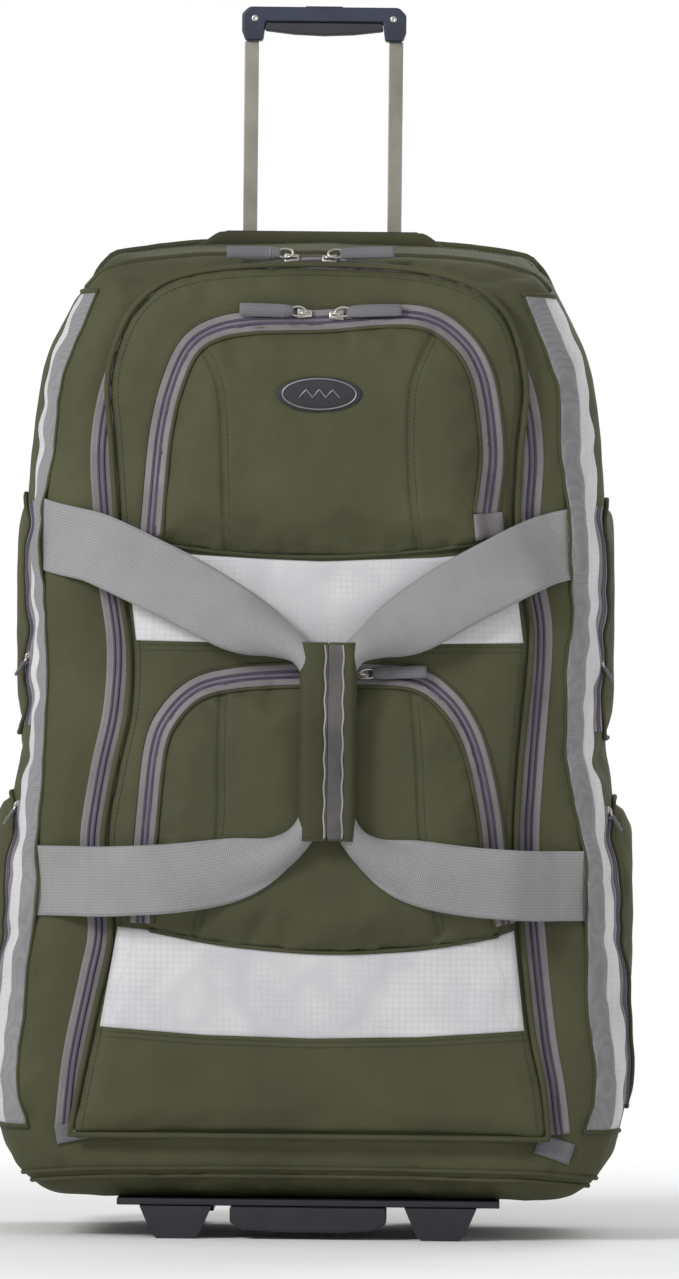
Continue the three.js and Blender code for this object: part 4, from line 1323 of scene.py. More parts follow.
def make_shell_piping(tree):
    """Piping round the back, over the front rim and across the boot, and the back's stitch row."""
    outline = shell_outline()
    back = [p for p in on_seam(tree, outline, BACK_SEAM_Y, 0.8 * MM) if p.z > 0.060]
    piping("back_piping", back, radius=3.2 * MM)
    front = [p for p in on_seam(tree, outline, RIM_SEAM_Y, 0.2 * MM) if p.z > 0.788]
    piping("front_rim_piping", front, radius=2.8 * MM)
    rear = [p for p in on_seam(tree, outline, BACK_STITCH_Y, 0.5 * MM) if p.z > 0.080]
    stitches("back_seam_stitches", rear)
    for k, rise in enumerate((0.0, 6.5 * MM)):
        line = []
        for part in shares(120):
            share = 2 * part - 1
            if abs(share) < BOOT_STRAIGHT:
                z = BOOT_SEAM_Z + rise - 3 * MM * abs(share) ** 2
                x = share / BOOT_STRAIGHT * (shell_width(z) - CORNER)
                line.append(on_front(tree, x, z, 1.0 * MM)[0])
            else:
                side = 1 if share > 0 else -1
                turn = (abs(share) - BOOT_STRAIGHT) / (1 - BOOT_STRAIGHT)
                z = BOOT_SEAM_Z + rise - 3 * MM - 4 * MM * turn
                line.append(round_corner(tree, side, z, 90 - 80 * turn, 1.0 * MM))
        piping(f"boot_piping_{k}", line, radius=2.0 * MM)


LIP_PAST_BEZEL = 26 * MM
LIP_BEFORE_BEZEL = 5 * MM
LIP_EASE = 24 * MM  # length over which each end falls away
LIP_FALL = 12 * MM
LIP_HALF = 3.4 * MM


def make_handle_lip(tree):
    """A padded fabric lip that stands up before the bezel of the pull handle."""
    low, high = corners("tube_bezel")
    reach = high.x + LIP_PAST_BEZEL
    depth = low.y - LIP_BEFORE_BEZEL
    rings = []
    for share in shares(60):
        x = reach * (2 * share - 1)
        rise = eased(min(1.0, (reach - abs(x)) / LIP_EASE))
        top = high.z - 1 * MM - (1 - rise) * LIP_FALL
        seat = tree.ray_cast(Vector((x, depth, 2)), Vector((0, 0, -1)))[0].z - 3 * MM
        middle = (top + seat) / 2
        half = max(1 * MM, (top - seat) / 2)
        rings.append([Vector((x, depth + LIP_HALF * math.cos(t), middle + half * math.sin(t)))
                      for t in round_turn(16)])
    lip = skin("handle_lip", rings, [OLIVE_TRIM])
    settle(lip, "bag", "olive_fabric")


CHANNEL_SEAMS = (0.047, 0.078)  # from the middle of the back
BACK_MIDDLE = 0.44  # height


def make_back_details(tree):
    """Seams on the back: a piped inner frame with a stitch row inside it, and two stitched channels over the
    tubes.
    """
    def place(x, z, lift):
        hit = tree.ray_cast(Vector((x, 1, z)), Vector((0, -1, 0)))[0]
        return hit + Vector((0, lift, 0))

    for side in (-1, 1):
        for k, x in enumerate(CHANNEL_SEAMS):
            line = [place(side * x, 0.10 + 0.70 * share, STITCH_LIFT) for share in shares(60)]
            stitches(f"back_channel_{side_word(side)}_{k}", line)
    seam = [place(p.x * 0.88, BACK_MIDDLE + (p.y - BACK_MIDDLE) * 0.93, 0.6 * MM) for p in shell_outline()]
    piping("back_panel_seam", seam, closed=True, radius=1.4 * MM)
    inner = [place(p.x * 0.972, BACK_MIDDLE + (p.z - BACK_MIDDLE) * 0.978, STITCH_LIFT) for p in seam]
    stitches("back_panel_stitches", inner + inner[:1])


TAB_THICK = 1.2 * MM


def end_tab(name, centre, width, height, turn, tree, material):
    """A small folded fabric tab over the end of a zip."""
    place = front_place(tree)
    cos, sin = math.cos(turn), math.sin(turn)

    def corner(a, b):
        return Vector((centre[0] + (a * cos - b * sin), centre[1] + (a * sin + b * cos)))

    def raised(point, lift):
        return place(point, lift + (TAB_THICK if lift > 0 else 0))

    left, right = ([corner(way * width / 2, height * (share - 0.5)) for share in shares(6)]
                   for way in (-1, 1))
    fabric_strip(name, (left, right), raised, TAB_THICK, material, "grey_zip_tape")


# ------------------------------------------------------------------ badge


CHEVRON = [(-6 * MM, -3.4 * MM), (0, 3.6 * MM), (6 * MM, -3.4 * MM)]
# The badge's plate from its back to its middle: share of its size, height.
PLATE_ROWS = [(0.97, -1.5 * MM), (1.0, -0.5 * MM), (1.0, 1.6 * MM), (0.97, 2.2 * MM), (0.6, 2.5 * MM),
              (0.2, 2.6 * MM)]


def make_badge(tree):
    """An oval badge with a rim and three chevrons."""
    low, high = corners("badge")
    centre = Vector(((low.x + high.x) / 2, 0, (low.z + high.z) / 2))
    half_x, half_z = (high.x - low.x) / 2, (high.z - low.z) / 2
    hit, _ = on_front(tree, centre.x, centre.z)
    base = hit.y + 1.5 * MM

    def ellipse(scale, lift):
        return [Vector((centre.x + half_x * scale * math.cos(t), base - 1.5 * MM - lift,
                        centre.z + half_z * scale * math.sin(t)))
                for t in round_turn(64)]

    plate = skin("badge_plate", [ellipse(*row) for row in PLATE_ROWS], [BADGE_RUBBER])
    settle(plate, "bag", "badge_rubber", "badge")
    ring = rod("badge_rim", ellipse(0.87, 2.3 * MM), 0.7 * MM, [BADGE_RING], closed=True)
    settle(ring, "bag", "bright_metal")
    for k, shift in enumerate((-11 * MM, 0.0, 11 * MM)):
        line = [Vector((centre.x + shift + x, base - 4.1 * MM, centre.z + z)) for x, z in CHEVRON]
        mark = rod(f"badge_chevron_{k}", line, 0.75 * MM, [BADGE_RING])
        settle(mark, "bag", "bright_metal")


# ------------------------------------------------------------------ sliders and pulls


def to_world(obj, centre, along, out):
    """Turns a mesh made with +X along and +Z out to its place."""
    along = along.normalized()
    out = (out - along * out.dot(along)).normalized()
    across = out.cross(along)
    turn = Matrix((along, across, out)).transposed().to_4x4()
    obj.data.transform(Matrix.Translation(centre) @ turn)
    obj.data.update()
    return obj


def bevelled_block(size, material, bevel, centre=(0, 0, 0), taper=1.0):
    """A block with rounded edges, narrower at -X by taper."""
    x, y, z = (s / 2 for s in size)
    ends = (-1, 1)
    points = [(a * x, b * y * (taper if a < 0 else 1), c * z) for a in ends for b in ends for c in ends]
    faces = [(0, 1, 3, 2), (4, 6, 7, 5), (0, 4, 5, 1), (2, 3, 7, 6), (0, 2, 6, 4), (1, 5, 7, 3)]
    block = outward(new_object("block", points, faces, [material]))
    apply_modifier(block, "BEVEL", width=bevel, segments=3)
    block.data.transform(Matrix.Translation(centre))
    return shade_smooth(block)


def joined(name, parts):
    """One object from several, with the UV maps of the parts that have one."""
    materials = []
    vertices = []
    faces = []
    kinds = []
    spots = []
    for part in parts:
        start = len(vertices)
        for m in part.data.materials:
            if m not in materials:
                materials.append(m)
        slots = [materials.index(m) for m in part.data.materials]
        vertices += [v.co.copy() for v in part.data.vertices]
        layer = part.data.uv_layers.get("UVMap")
        for p in part.data.polygons:
            faces.append([start + i for i in p.vertices])
            kinds.append(slots[p.material_index])
            spots += [tuple(layer.data[i].uv) if layer else (0.0, 0.0) for i in p.loop_indices]
    made = new_object(name, vertices, faces, materials, kinds)
    if any(part.data.uv_layers for part in parts):
        layer = made.data.uv_layers.new(name="UVMap")
        for loop, uv in zip(made.data.loops, spots):
            layer.data[loop.index].uv = uv
    for part in parts:
        bpy.data.objects.remove(part, do_unlink=True)
    return made


SLIDER_SIZE = (12 * MM, 8 * MM, 4.6 * MM)  # length, width, height
SLIDER_TAPER = 0.72


def slider_body(name, centre, along, out):
    """Two plates with a gap for the coils, and a bridge over the top."""
    length, width, height = SLIDER_SIZE
    top = bevelled_block((length, width, 1.5 * MM), SLIDER_METAL, 0.6 * MM, (0, 0, height * 0.22),
                         SLIDER_TAPER)
    bottom = bevelled_block((length, width, 1.2 * MM), SLIDER_METAL, 0.5 * MM, (0, 0, -height * 0.38),
                            SLIDER_TAPER)
    neck = bevelled_block((length * 0.4, width * 0.3, height * 0.7), SLIDER_METAL, 0.4 * MM,
                          (length * 0.22, 0, -height * 0.1))
    arch = [(-0.34, 0.3), (-0.26, 0.72), (0, 0.86), (0.26, 0.72), (0.34, 0.3)]
    arch = spline([(length * x, 0, height * z) for x, z in arch], 5)
    bridge = rod("bridge", arch, 0.9 * MM, [SLIDER_METAL])
    return to_world(joined(name, [top, bottom, neck, bridge]), centre, along, out)


WIRE = 0.95 * MM  # radius of a pull's wire ring
TAB_STEPS = 18
# Section of a tab: share of its half width across, share of its half thickness up.
TAB_SECTION = [(-1, 0), (-0.9, 1), (0, 1.1), (0.9, 1), (1, 0), (0.9, -1), (0, -1.1), (-0.9, -1)]


def pull_with_tab(name, start, end, out, width, droop=0.0):
    """A wire ring at the start and a folded webbing tab to the end."""
    along = end - start
    length = along.length
    ring_long = min(13 * MM, length * 0.4)
    oval = [Vector((ring_long * (0.5 - 0.5 * math.cos(t)), width * 0.36 * math.sin(t), 0))
            for t in round_turn(28)]
    ring = rod("ring", oval, WIRE, [SLIDER_METAL], closed=True)
    rings = []
    uvs = []
    tab_start = ring_long - 3 * MM
    for share in shares(TAB_STEPS):
        x = tab_start + (length - tab_start) * share
        half = width / 2 * (1 - 0.25 * (1 - min(1, share * 5)) - 0.12 * max(0, share * 8 - 7) ** 2)
        thick = (1.25 + 0.35 * math.exp(-((share - 0.18) / 0.1) ** 2)) * MM * (1 if 0 < share < 1 else 0.5)
        z = droop * math.sin(share * math.pi * 0.6)
        rings.append([Vector((x, half * a, z + thick * b)) for a, b in TAB_SECTION])
        uvs += [(x, half * a) for a, _ in TAB_SECTION]
    tab = skin("tab", rings, [TAB_WEBBING], uvs=uvs)
    ends = [Vector((tab_start + 9 * MM, way * width * 0.42, 1.6 * MM)) for way in (-1, 1)]
    thread = rod("thread", ends, 0.4 * MM, [PALE_STITCH])
    made = joined(name, [ring, tab, thread])
    return to_world(made, start, along, out)


FRONT_PULLS = [
    # slider node, pull node, body, droop of the tab
    ("main_left_slider", "main_left_pull", "main_left_zip_pull", -2.0),
    ("main_right_slider", "main_right_pull", "main_right_zip_pull", 1.5),
    ("upper_left_slider", "upper_left_pull", "upper_left_zip_pull", 1.0),
    ("upper_right_slider", "upper_right_pull", "upper_right_zip_pull", 2.0),
    ("lower_slider", "lower_pull", "lower_zip_pull", 2.0),
]


PULL_LEAN = Vector((0, -1.5, 0))  # turns a slider's facing towards the front
SLIDER_LIFT = 1.4 * MM
PULL_DROP_MOST = -1 * MM
PULL_WIDTH = 11 * MM
SIDE_PULL_WIDTH = 9 * MM


def make_front_pulls(track_tree):
    """Sliders seated on the zip tracks, each with its pull."""
    for slider_node, pull_node, body, droop in FRONT_PULLS:
        low, high = corners(slider_node)
        centre = (low + high) / 2
        pull_low, pull_high = corners(pull_node)
        way = 1 if pull_low.x + pull_high.x > low.x + high.x else -1
        hit, normal, _, _ = track_tree.find_nearest(centre)
        out = (normal + PULL_LEAN).normalized()
        shift = hit + out * SLIDER_LIFT - centre
        slider = slider_body(slider_node + "_metal", centre + shift, Vector((way, 0, 0)), out)
        settle(slider, "bag", "bright_metal", slider_node)
        y = (pull_low.y + pull_high.y) / 2
        z = (pull_low.z + pull_high.z) / 2
        near = pull_low.x if way > 0 else pull_high.x
        far = pull_high.x if way > 0 else pull_low.x
        shift.z = max(shift.z, PULL_DROP_MOST)
        start = Vector((near - way * 6 * MM, y - 0.5 * MM, z - 1.5 * MM)) + shift
        end = Vector((far, y, z)) + shift
        pull = pull_with_tab(pull_node + "_tab", start, end, out, PULL_WIDTH, droop * MM)
        settle(pull, body, "grey_webbing", pull_node)


def make_side_slider(side, level):
    """A side pocket's slider, and its pull hanging down from it."""
    node = f"{side_word(side)}_{level}_side_slider"
    low, high = corners(node)
    centre = (low + high) / 2
    inner_x = high.x if side < 0 else low.x
    outer_x = low.x if side < 0 else high.x
    out = Vector((side, 0, 0))
    seat = Vector((inner_x + side * 2.6 * MM, centre.y, centre.z))
    slider = slider_body(node + "_metal", seat, Vector((0, 0, 1)), out)
    start = Vector((inner_x + side * 4.5 * MM, centre.y, centre.z + 2 * MM))
    end = Vector((outer_x, centre.y - 3 * MM, centre.z - 14 * MM))
    pull = pull_with_tab("tab", start, end, Vector((side, 0, 1)), SIDE_PULL_WIDTH)
    made = joined(node + "_and_pull", [slider, pull])
    settle(made, node + "_body", "bright_metal", node)


# ------------------------------------------------------------------ side pockets and zips


SIDE_POCKET_ROUND = 24 * MM
# A side pocket's crown: inset from the edge, share of the way out to its outer face.
SIDE_CROWN = [(0, -0.1), (0, 0.12), (2 * MM, 0.35), (6 * MM, 0.6), (13 * MM, 0.78), (26 * MM, 0.88),
              (50 * MM, 0.92)]


def rounded_rectangle(y0, y1, z0, z1, radius):
    """A closed (y, z) line with round corners."""
    middles = [(y1 - radius, z1 - radius, 0), (y0 + radius, z1 - radius, 90),
               (y0 + radius, z0 + radius, 180), (y1 - radius, z0 + radius, 270)]
    line = []
    for y, z, start in middles:
        for k in range(5):
            angle = math.radians(start + k * 22.5)
            line.append(Vector((y + radius * math.cos(angle), z + radius * math.sin(angle))))
    return resample(line, 5 * MM, closed=True)


def make_side_pocket(side, level, tree):
    """A padded side pocket with piping round it."""
    node = f"{side_word(side)}_{level}_side_pocket"
    low, high = corners(node)
    outer = max(abs(low.x), abs(high.x))
    outline = rounded_rectangle(low.y, high.y, low.z, high.z, SIDE_POCKET_ROUND)
    middle = Vector(((low.y + high.y) / 2, (low.z + high.z) / 2))
    half = Vector(((high.y - low.y) / 2, (high.z - low.z) / 2))
    rings = []
    for inset, share in SIDE_CROWN:
        ring = []
        for p in outline:
            y = middle.x + (p.x - middle.x) * (1 - inset / half.x)
            z = middle.y + (p.y - middle.y) * (1 - inset / half.y)
            surface = shell_width(z) + side_bulge(y)
            ring.append(Vector((side * (surface + (outer - surface) * share), y, z)))
        rings.append(ring)
    pad = skin(node + "_pad", rings, [OLIVE])

    def pinned(p):
        return 1.0 if abs(p.x) < shell_width(p.z) + side_bulge(p.y) + 1.5 * MM else 0.0

    puff(pad, 6 * MM, 4.0, 5 * MM, pinned, 0.015)
    press(pad, lambda co, normal: creases(Vector((0, co.y, co.z * 0.7)), 0.06, 41 + 7 * side) * 1.4 * MM)
    settle(pad, "bag", "olive_fabric", node)
    outwards = Vector((side * 1.2 * MM, 0, 0))
    edge = [on_side(tree, side, p.x, p.y, 0.8 * MM) + outwards for p in outline]
    piping(node + "_piping", edge, closed=True, radius=2.0 * MM)


def make_side_zip(side, level, tree):
    """The straight front run of a side pocket's zip."""
    node = f"{side_word(side)}_{level}_side_zip"
    low, high = corners(node)
    y = (low.y + high.y) / 2
    line = [Vector((y, low.z + (high.z - low.z) * share)) for share in shares(60)]

    def place(point, lift):
        return on_side(tree, side, point.x, point.y, lift)

    zip_strip(node + "_track", line, place, SIDE_ZIP_WIDTH, node)


# ------------------------------------------------------------------ carry loops

STRAP_HALF = 29 * MM
STRAP_THICK = 2.2 * MM
ROLLED_HALF = 23 * MM
ROLL_TURN = 0.93  # share of a whole turn that a strap's edges curl round at the grip
ROLL_RADIUS = 2 * ROLLED_HALF / (2 * math.pi * ROLL_TURN)
GRIP_X = (grip_low.x + grip_high.x) / 2
GRIP_Y = (grip_low.y + grip_high.y) / 2
BUNDLE_SHIFT = 11.8 * MM

CORNER_TURN = 68  # how far round the corner, in degrees from the side, a loop leaves it
# share of the way from the side seam to the grip, height, depth, curl of the edges
LOOP_START = [(0.20, 0.573, -0.136, 0), (0.275, 0.566, -0.151, 0), (0.36, 0.557, -0.158, 0.02),
              (0.54, 0.537, -0.166, 0.06), (0.72, 0.514, -0.175, 0.2), (0.86, 0.500, -0.182, 0.55),
              (0.96, 0.486, -0.187, 0.9)]
LOOP_END = [(0.96, 0.336, -0.186, 0.9), (0.86, 0.318, -0.182, 0.55), (0.72, 0.307, -0.177, 0.2),
            (0.54, 0.300, -0.174, 0.06), (0.36, 0.297, -0.168, 0.02), (0.26, 0.296, -0.150, 0),
            (0.205, 0.296, -0.136, 0)]
STRAP_OFF_CORNER = 3.4 * MM  # from the bare corner to the strap's middle
STRAP_COLUMNS = 16
GRIP_HEIGHTS = (0.462, 0.414, 0.362)
CURL_UNIT = 10 * MM  # keeps the curl small beside the distances when the line is measured


def loop_line(side):
    """The middle line of a loop, as (x, y, z, curl) points."""
    grip_x = GRIP_X + side * BUNDLE_SHIFT

    def place(row):
        share, z, y, curl = row
        seam = side * shell_width(z)
        return (seam + (grip_x - seam) * share, y, z, curl * CURL_UNIT)

    def round_the_corner(z, degrees):
        angle = math.radians(degrees)
        reach = CORNER + STRAP_OFF_CORNER
        x = shell_width(z) - CORNER + reach * math.cos(angle)
        return (side * x, CORNER_Y - reach * math.sin(angle), z, 0)

    def corner_turns(anchor):
        first = table(BAND_EDGES[side], anchor) - 0.7 * BAND_TURN[side]
        return [first + (CORNER_TURN - first) * k / 3 for k in range(4)]

    upper, lower = ANCHOR_HEIGHTS
    start = [round_the_corner(upper + (6 - 0.17 * turn) * MM, turn) for turn in corner_turns(upper)]
    end = [round_the_corner(lower, turn) for turn in reversed(corner_turns(lower))]
    front = GRIP_Y - ROLL_RADIUS
    grip = [(grip_x, front, z, CURL_UNIT) for z in GRIP_HEIGHTS]
    points = start + [place(r) for r in LOOP_START] + grip + [place(r) for r in LOOP_END] + end
    return resample(spline(points, 10), 4 * MM)


def make_loop(side, front_tree):
    """A carry loop: flat webbing from its seam, curling up into the grip and out again."""
    word = side_word(side)
    line = loop_line(side)
    places = [Vector(p[:3]) for p in line]
    rings = []
    uvs = []
    length = 0.0
    for i, p in enumerate(line):
        before = places[max(0, i - 1)]
        after = places[min(len(line) - 1, i + 1)]
        along = (after - before).normalized()
        length += (places[i] - before).length
        curl = clamp(p[3] / CURL_UNIT)
        depth = clamp((CORNER_Y - places[i].y) / CORNER)
        angle = math.asin(depth)
        facing = Vector((side * math.cos(angle), -math.sin(angle), 0))
        out = (facing - along * facing.dot(along)).normalized()
        across = along.cross(out)
        half = STRAP_HALF + (ROLLED_HALF - STRAP_HALF) * curl
        bend = max(1e-3, curl / ROLL_RADIUS * ROLL_TURN)
        outer = []
        inner = []
        offsets = [half * (2 * share - 1) for share in shares(STRAP_COLUMNS)]
        for v in offsets:
            flat = math.sin(v * bend) / bend
            back = (1 - math.cos(v * bend)) / bend
            ripple = (1 - curl) * 1.2 * MM * creases(Vector((length, v * 0.4, side)), 0.06, 5)
            normal = out * math.cos(v * bend) + across * math.sin(v * bend)
            spot = places[i] + across * flat - out * (back - ripple)
            top = spot + normal * STRAP_THICK / 2
            low = spot - normal * STRAP_THICK / 2
            if curl < 0.6 and depth > 0.98:
                hit, _ = on_front(front_tree, spot.x, spot.z)
                low.y = min(low.y, hit.y - 0.7 * MM)
                top.y = min(top.y, low.y - STRAP_THICK * 0.8)
            outer.append(top)
            inner.append(low)
        rings.append(outer + inner[::-1])
        uvs += [(length, v) for v in offsets] + [(length, v) for v in reversed(offsets)]
    strap = skin(f"{word}_carry_strap", rings, [WEBBING], uvs=uvs)
    settle(strap, f"{word}_loop", "grey_webbing", f"{word}_carry_loop")


# ------------------------------------------------------------------ grip

GREY_LEFT = 10 * MM  # the grey strip of the wrap runs between these
GREY_RIGHT = 26 * MM
GRIP_STEPS = 26
GRIP_ROWS = 60
# Rounded ends of the wrap: distance from its end, share of its full section.
GRIP_ENDS = [(3 * MM, 0.60), (0.6 * MM, 0.66), (0, 0.78), (0.4 * MM, 0.88), (1.6 * MM, 0.95), (4 * MM, 0.99)]


def roll_height(x, middle, half, floor, outside):
    """Height of a padded roll over x: down to nothing on its outside, to a floor on the other."""
    share = (x - middle) / half
    rise = math.sqrt(max(0.0, 1 - min(1, abs(share)) ** 2.3))
    return rise if share * outside > 0 else floor + (1 - floor) * rise


def grip_height(x):
    """How far the grip stands from its mid plane at x, as a share of its full depth."""
    if x < GREY_LEFT:
        return roll_height(x, (grip_low.x + GREY_LEFT) / 2, (GREY_LEFT - grip_low.x) / 2, 0.8, -1)
    if x > GREY_RIGHT:
        return 0.97 * roll_height(x, (GREY_RIGHT + grip_high.x) / 2, (grip_high.x - GREY_RIGHT) / 2, 0.8, 1)
    share = (x - GREY_LEFT) / (GREY_RIGHT - GREY_LEFT)
    return 0.84 + 0.05 * math.sin(math.pi * share)


def make_grip_half(side):
    """One half of the padded wrap, with its pale edging and the bindings of its ends."""
    word = side_word(side)
    low, high = corners(f"{word}_grip_wrap")
    depth = (high.y - low.y) / 2
    outer_x = low.x if side < 0 else high.x
    seam_x = high.x if side < 0 else low.x
    xs = [outer_x + (seam_x - outer_x) * (1 - math.cos(math.pi / 2 * share)) for share in shares(GRIP_STEPS)]
    front = [(x, -grip_height(x)) for x in xs]
    back = [(x, 0.96 * min(1, grip_height(x) * 1.02)) for x in reversed(xs[1:])]
    section = front + back
    centre = Vector((GRIP_X + side * BUNDLE_SHIFT, GRIP_Y))
    rings = []
    kinds = []
    z0, z1 = low.z, high.z
    heights = [(z0 + rise, scale) for rise, scale in GRIP_ENDS]
    heights += [(z0 + 6 * MM + (z1 - z0 - 12 * MM) * share, 1.0) for share in shares(GRIP_ROWS)]
    heights += [(z1 - rise, scale) for rise, scale in reversed(GRIP_ENDS)]
    for z, scale in heights:
        ring = []
        for x, y in section:
            puckers = 0.5 * MM * creases(Vector((x * 2, y * 0.01, z)), 0.02, 11)
            px = centre.x + (x - centre.x) * scale
            py = GRIP_Y + y * (depth + (puckers if abs(y) > 0.3 else 0)) * scale
            ring.append(Vector((px, py, z)))
        rings.append(ring)
    for k, (x, y) in enumerate(section):
        grey = y < 0 and GREY_LEFT <= x <= GREY_RIGHT
        kinds.append(1 if grey and section[(k + 1) % len(section)][1] < 0 else 0)
    wrap = skin(f"{word}_grip_roll", rings, [OLIVE_GRIP, HOOK_TAPE], face_materials=kinds)
    settle(wrap, f"{word}_loop", "soft_grip", f"{word}_grip_wrap")
    edge_x = GREY_LEFT + 0.6 * MM if side < 0 else GREY_RIGHT - 0.6 * MM
    edge_y = GRIP_Y - grip_height(edge_x) * depth - 0.3 * MM
    wobble = []
    for k, share in enumerate(shares(60)):
        z = z0 + 2 * MM + (z1 - z0 - 4 * MM) * share
        wobble.append(Vector((edge_x + 0.5 * MM * math.sin(k * 0.7), edge_y, z)))
    edging = rod(f"{word}_grip_edging", wobble, 0.75 * MM, [PALE_STITCH])
    settle(edging, f"{word}_loop", "grey_webbing")
    for level, z in (("top", z1 - 1 * MM), ("bottom", z0 + 1 * MM)):
        rim = [Vector((centre.x + (x - centre.x) * 0.9, GRIP_Y + y * depth * 0.9, z)) for x, y in section]
        binding = rod(f"{word}_grip_{level}_binding", resample(rim, 2 * MM, closed=True), 1.1 * MM,
                      [OLIVE_TRIM], closed=True)
        settle(binding, f"{word}_loop", "olive_fabric")


# ------------------------------------------------------------------ hard parts


def refine(node, body, material, bevel, slot_name):
    """A smooth, bevelled copy of a CAD node in its place."""
    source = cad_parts[node]
    mesh = source.data.copy()
    made = bpy.data.objects.new(node + "_moulded", mesh)
    bpy.context.scene.collection.objects.link(made)
    mesh.materials.clear()
    mesh.materials.append(material)
    shape = bmesh.new()
    shape.from_mesh(mesh)
    bmesh.ops.remove_doubles(shape, verts=shape.verts, dist=1e-5)
    bmesh.ops.dissolve_limit(shape, angle_limit=math.radians(3), verts=shape.verts, edges=shape.edges)
    shape.to_mesh(mesh)
    shape.free()
    apply_modifier(made, "BEVEL", width=bevel, segments=3, limit_method="ANGLE",
                   angle_limit=math.radians(25), use_clamp_overlap=True)
    apply_modifier(made, "TRIANGULATE")
    shade_smooth(made)
    apply_modifier(made, "WEIGHTED_NORMAL", keep_sharp=True)
    settle(made, body, slot_name, node)


def dress(node, material):
    """Gives a CAD node that stays as it is its material."""
    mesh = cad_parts[node].data
    mesh.materials.clear()
    mesh.materials.append(material)


def lathe_x(name, centre, profile, material):
    """A ring turned round X: profile rows are (x offset, radius), closed on themselves."""
    rings = [[centre + Vector((x, radius * math.cos(turn), radius * math.sin(turn))) for x, radius in profile]
             for turn in round_turn(72)]
    return weld(skin(name, rings + rings[:1], [material], caps=False))


AXLE_BORE = 4.4 * MM
SPOKES = 5
# A groove of the tread: share of the half width across, depth.
TREAD_GROOVE = [(-0.1, 0), (-0.06, 1.2 * MM), (0.06, 1.2 * MM), (0.1, 0)]


def make_wheel(side):
    """A treaded tyre and its spoked hub."""
    word = side_word(side)
    low, high = corners(f"{word}_tyre")
    hub_low, hub_high = corners(f"{word}_hub")
    centre = (low + high) / 2
    radius = (high.z - low.z) / 2
    half = (high.x - low.x) / 2
    inner = (hub_high.y - hub_low.y) / 2
    shoulder = [(1, inner), (1, radius * 0.9), (0.93, radius * 0.96), (0.8, radius * 0.99)]
    tread = [(-half * x, r) for x, r in shoulder]
    for x in (-0.5, 0.0, 0.5):
        tread += [(half * (x + step), radius - depth) for step, depth in TREAD_GROOVE]
    tread += [(half * x, r) for x, r in reversed(shoulder)]
    tyre = lathe_x(f"{word}_tyre_rubber", centre, tread, TYRE_RUBBER)
    settle(tyre, f"{word}_wheel", "tyre", f"{word}_tyre")
    hub_half = (hub_high.x - hub_low.x) / 2
    bore = AXLE_BORE
    face = [(hub_half, inner - 4 * MM), (4 * MM, inner - 5 * MM), (3 * MM, 9 * MM), (hub_half, 8 * MM),
            (hub_half, bore)]
    rim = [(-hub_half, inner - 4 * MM), (-hub_half, inner - 0.3 * MM), (hub_half, inner - 0.3 * MM)]
    rim += face + [(-x, r) for x, r in reversed(face[1:])]
    parts = [lathe_x("rim", centre, rim, PLASTIC)]
    for k in range(SPOKES):
        spoke = bevelled_block((hub_half * 1.7, inner - 11 * MM, 3 * MM), PLASTIC, 0.6 * MM,
                               (0, (inner + 4 * MM) / 2, 0))
        turn = Matrix.Rotation(math.radians(360 / SPOKES * k), 4, "X")
        spoke.data.transform(Matrix.Translation(centre) @ turn)
        parts.append(spoke)
    hub = joined(f"{word}_hub_spoked", parts)
    settle(hub, f"{word}_wheel", "dark_plastic", f"{word}_hub")


# A screw head from its rim to its middle: share of its radius, height in millimetres.
SCREW_ROWS = [(1.0, -1.0), (1.0, 0.3), (0.85, 0.8), (0.3, 1.0), (0.22, 0.4)]
SCREW_RADIUS = 3 * MM
SCREW_OUT = 59 * MM  # from the middle of the handle
SCREW_DOWN = 10 * MM


def screw(name, centre, out, body):
    """A round screw head with a socket."""
    rings = []
    for scale, height in SCREW_ROWS:
        radius = SCREW_RADIUS * scale
        rings.append([Vector((radius * math.cos(t), radius * math.sin(t), height * MM))
                      for t in round_turn(24)])
    made = to_world(skin(name, rings, [SLIDER_METAL]), centre, Vector((0, 0, 1)), out)
    settle(made, body, "bright_metal")


HARD_PARTS = [
    # node, body, material, radius of its edges, slot
    ("handle_housing", "pull_handle", PLASTIC_BLUE, 2.2 * MM, "dark_plastic"),
    ("grip_insert", "pull_handle", GRIP_RUBBER, 1.6 * MM, "soft_grip"),
    ("release_button", "button", PLASTIC, 1.0 * MM, "dark_plastic"),
    ("tube_bezel", "bag", PLASTIC, 1.4 * MM, "dark_plastic"),
    ("base_tray", "bag", PLASTIC, 1.0 * MM, "dark_plastic"),
    ("bottom_grab_handle", "bag", PLASTIC, 2.0 * MM, "dark_plastic"),
    ("left_runner", "bag", PLASTIC, 1.6 * MM, "dark_plastic"),
    ("right_runner", "bag", PLASTIC, 1.6 * MM, "dark_plastic"),
    ("left_inner_tube", "pull_handle", TUBE_METAL, 1.2 * MM, "tube_metal"),
    ("right_inner_tube", "pull_handle", TUBE_METAL, 1.2 * MM, "tube_metal"),
]


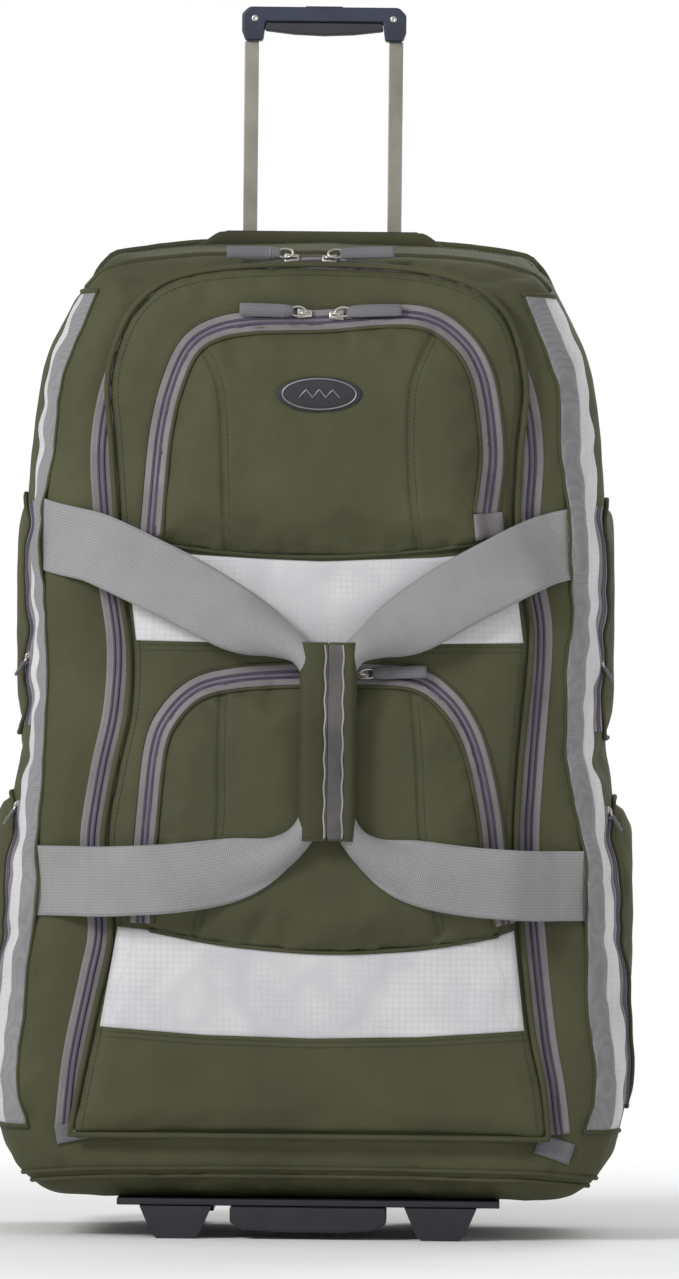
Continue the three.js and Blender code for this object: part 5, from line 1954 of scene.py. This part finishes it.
def make_hard_parts():
    """Mouldings, tubes, axles, wheels and screws."""
    for row in HARD_PARTS:
        refine(*row)
    housing_low, housing_high = corners("handle_housing")
    for side in (-1, 1):
        word = side_word(side)
        dress(f"{word}_axle", SLIDER_METAL)
        dress(f"{word}_outer_tube", TUBE_METAL)
        make_wheel(side)
        spot = Vector((side * SCREW_OUT, housing_low.y - 0.2 * MM, housing_high.z - SCREW_DOWN))
        screw(f"{word}_handle_screw", spot, Vector((0, -1, 0)), "pull_handle")


# ------------------------------------------------------------------ everything


def build():
    """Makes every piece, from the shell outwards."""
    shell = make_shell()
    shell_tree = tree_of(shell)
    flap = make_flap()
    flap_tree = tree_of(flap)
    upper, upper_seams = make_front_pocket("upper_pocket", flap_tree)
    lower, lower_seams = make_front_pocket("lower_pocket", flap_tree)
    front_tree = tree_of(flap, upper, lower)
    whole_tree = tree_of(shell, flap, upper, lower)
    tracks = [make_main_zip(shell)]
    make_flap_wall(shell_tree)
    make_flap_trim(flap_tree)
    make_white_bands(flap_tree)
    tracks.append(make_pocket_trim("upper_pocket", front_tree, upper_seams))
    tracks.append(make_pocket_trim("lower_pocket", front_tree, lower_seams))
    make_hem("upper_pocket", front_tree)
    make_hem("lower_pocket", front_tree)
    make_shell_piping(shell_tree)
    make_handle_lip(shell_tree)
    make_back_details(shell_tree)
    end_tab("main_zip_left_tab", (-0.195, 0.088), 0.030, 0.015, 0.2, shell_tree, TAB_WEBBING)
    end_tab("main_zip_right_tab", (0.204, 0.078), 0.030, 0.017, -0.3, shell_tree, TAB_WEBBING)
    end_tab("upper_zip_right_tab", (0.144, 0.594), 0.024, 0.021, 0.1, front_tree, TAPE)
    make_badge(front_tree)
    make_front_pulls(tree_of(*tracks))
    for side in (-1, 1):
        make_side_bands(side, shell_tree)
        for level in ("upper", "lower"):
            make_side_pocket(side, level, shell_tree)
            make_side_zip(side, level, shell_tree)
            make_side_slider(side, level)
        make_loop(side, whole_tree)
        make_grip_half(side)
    make_hard_parts()


build()
add_studio()
add_camera()
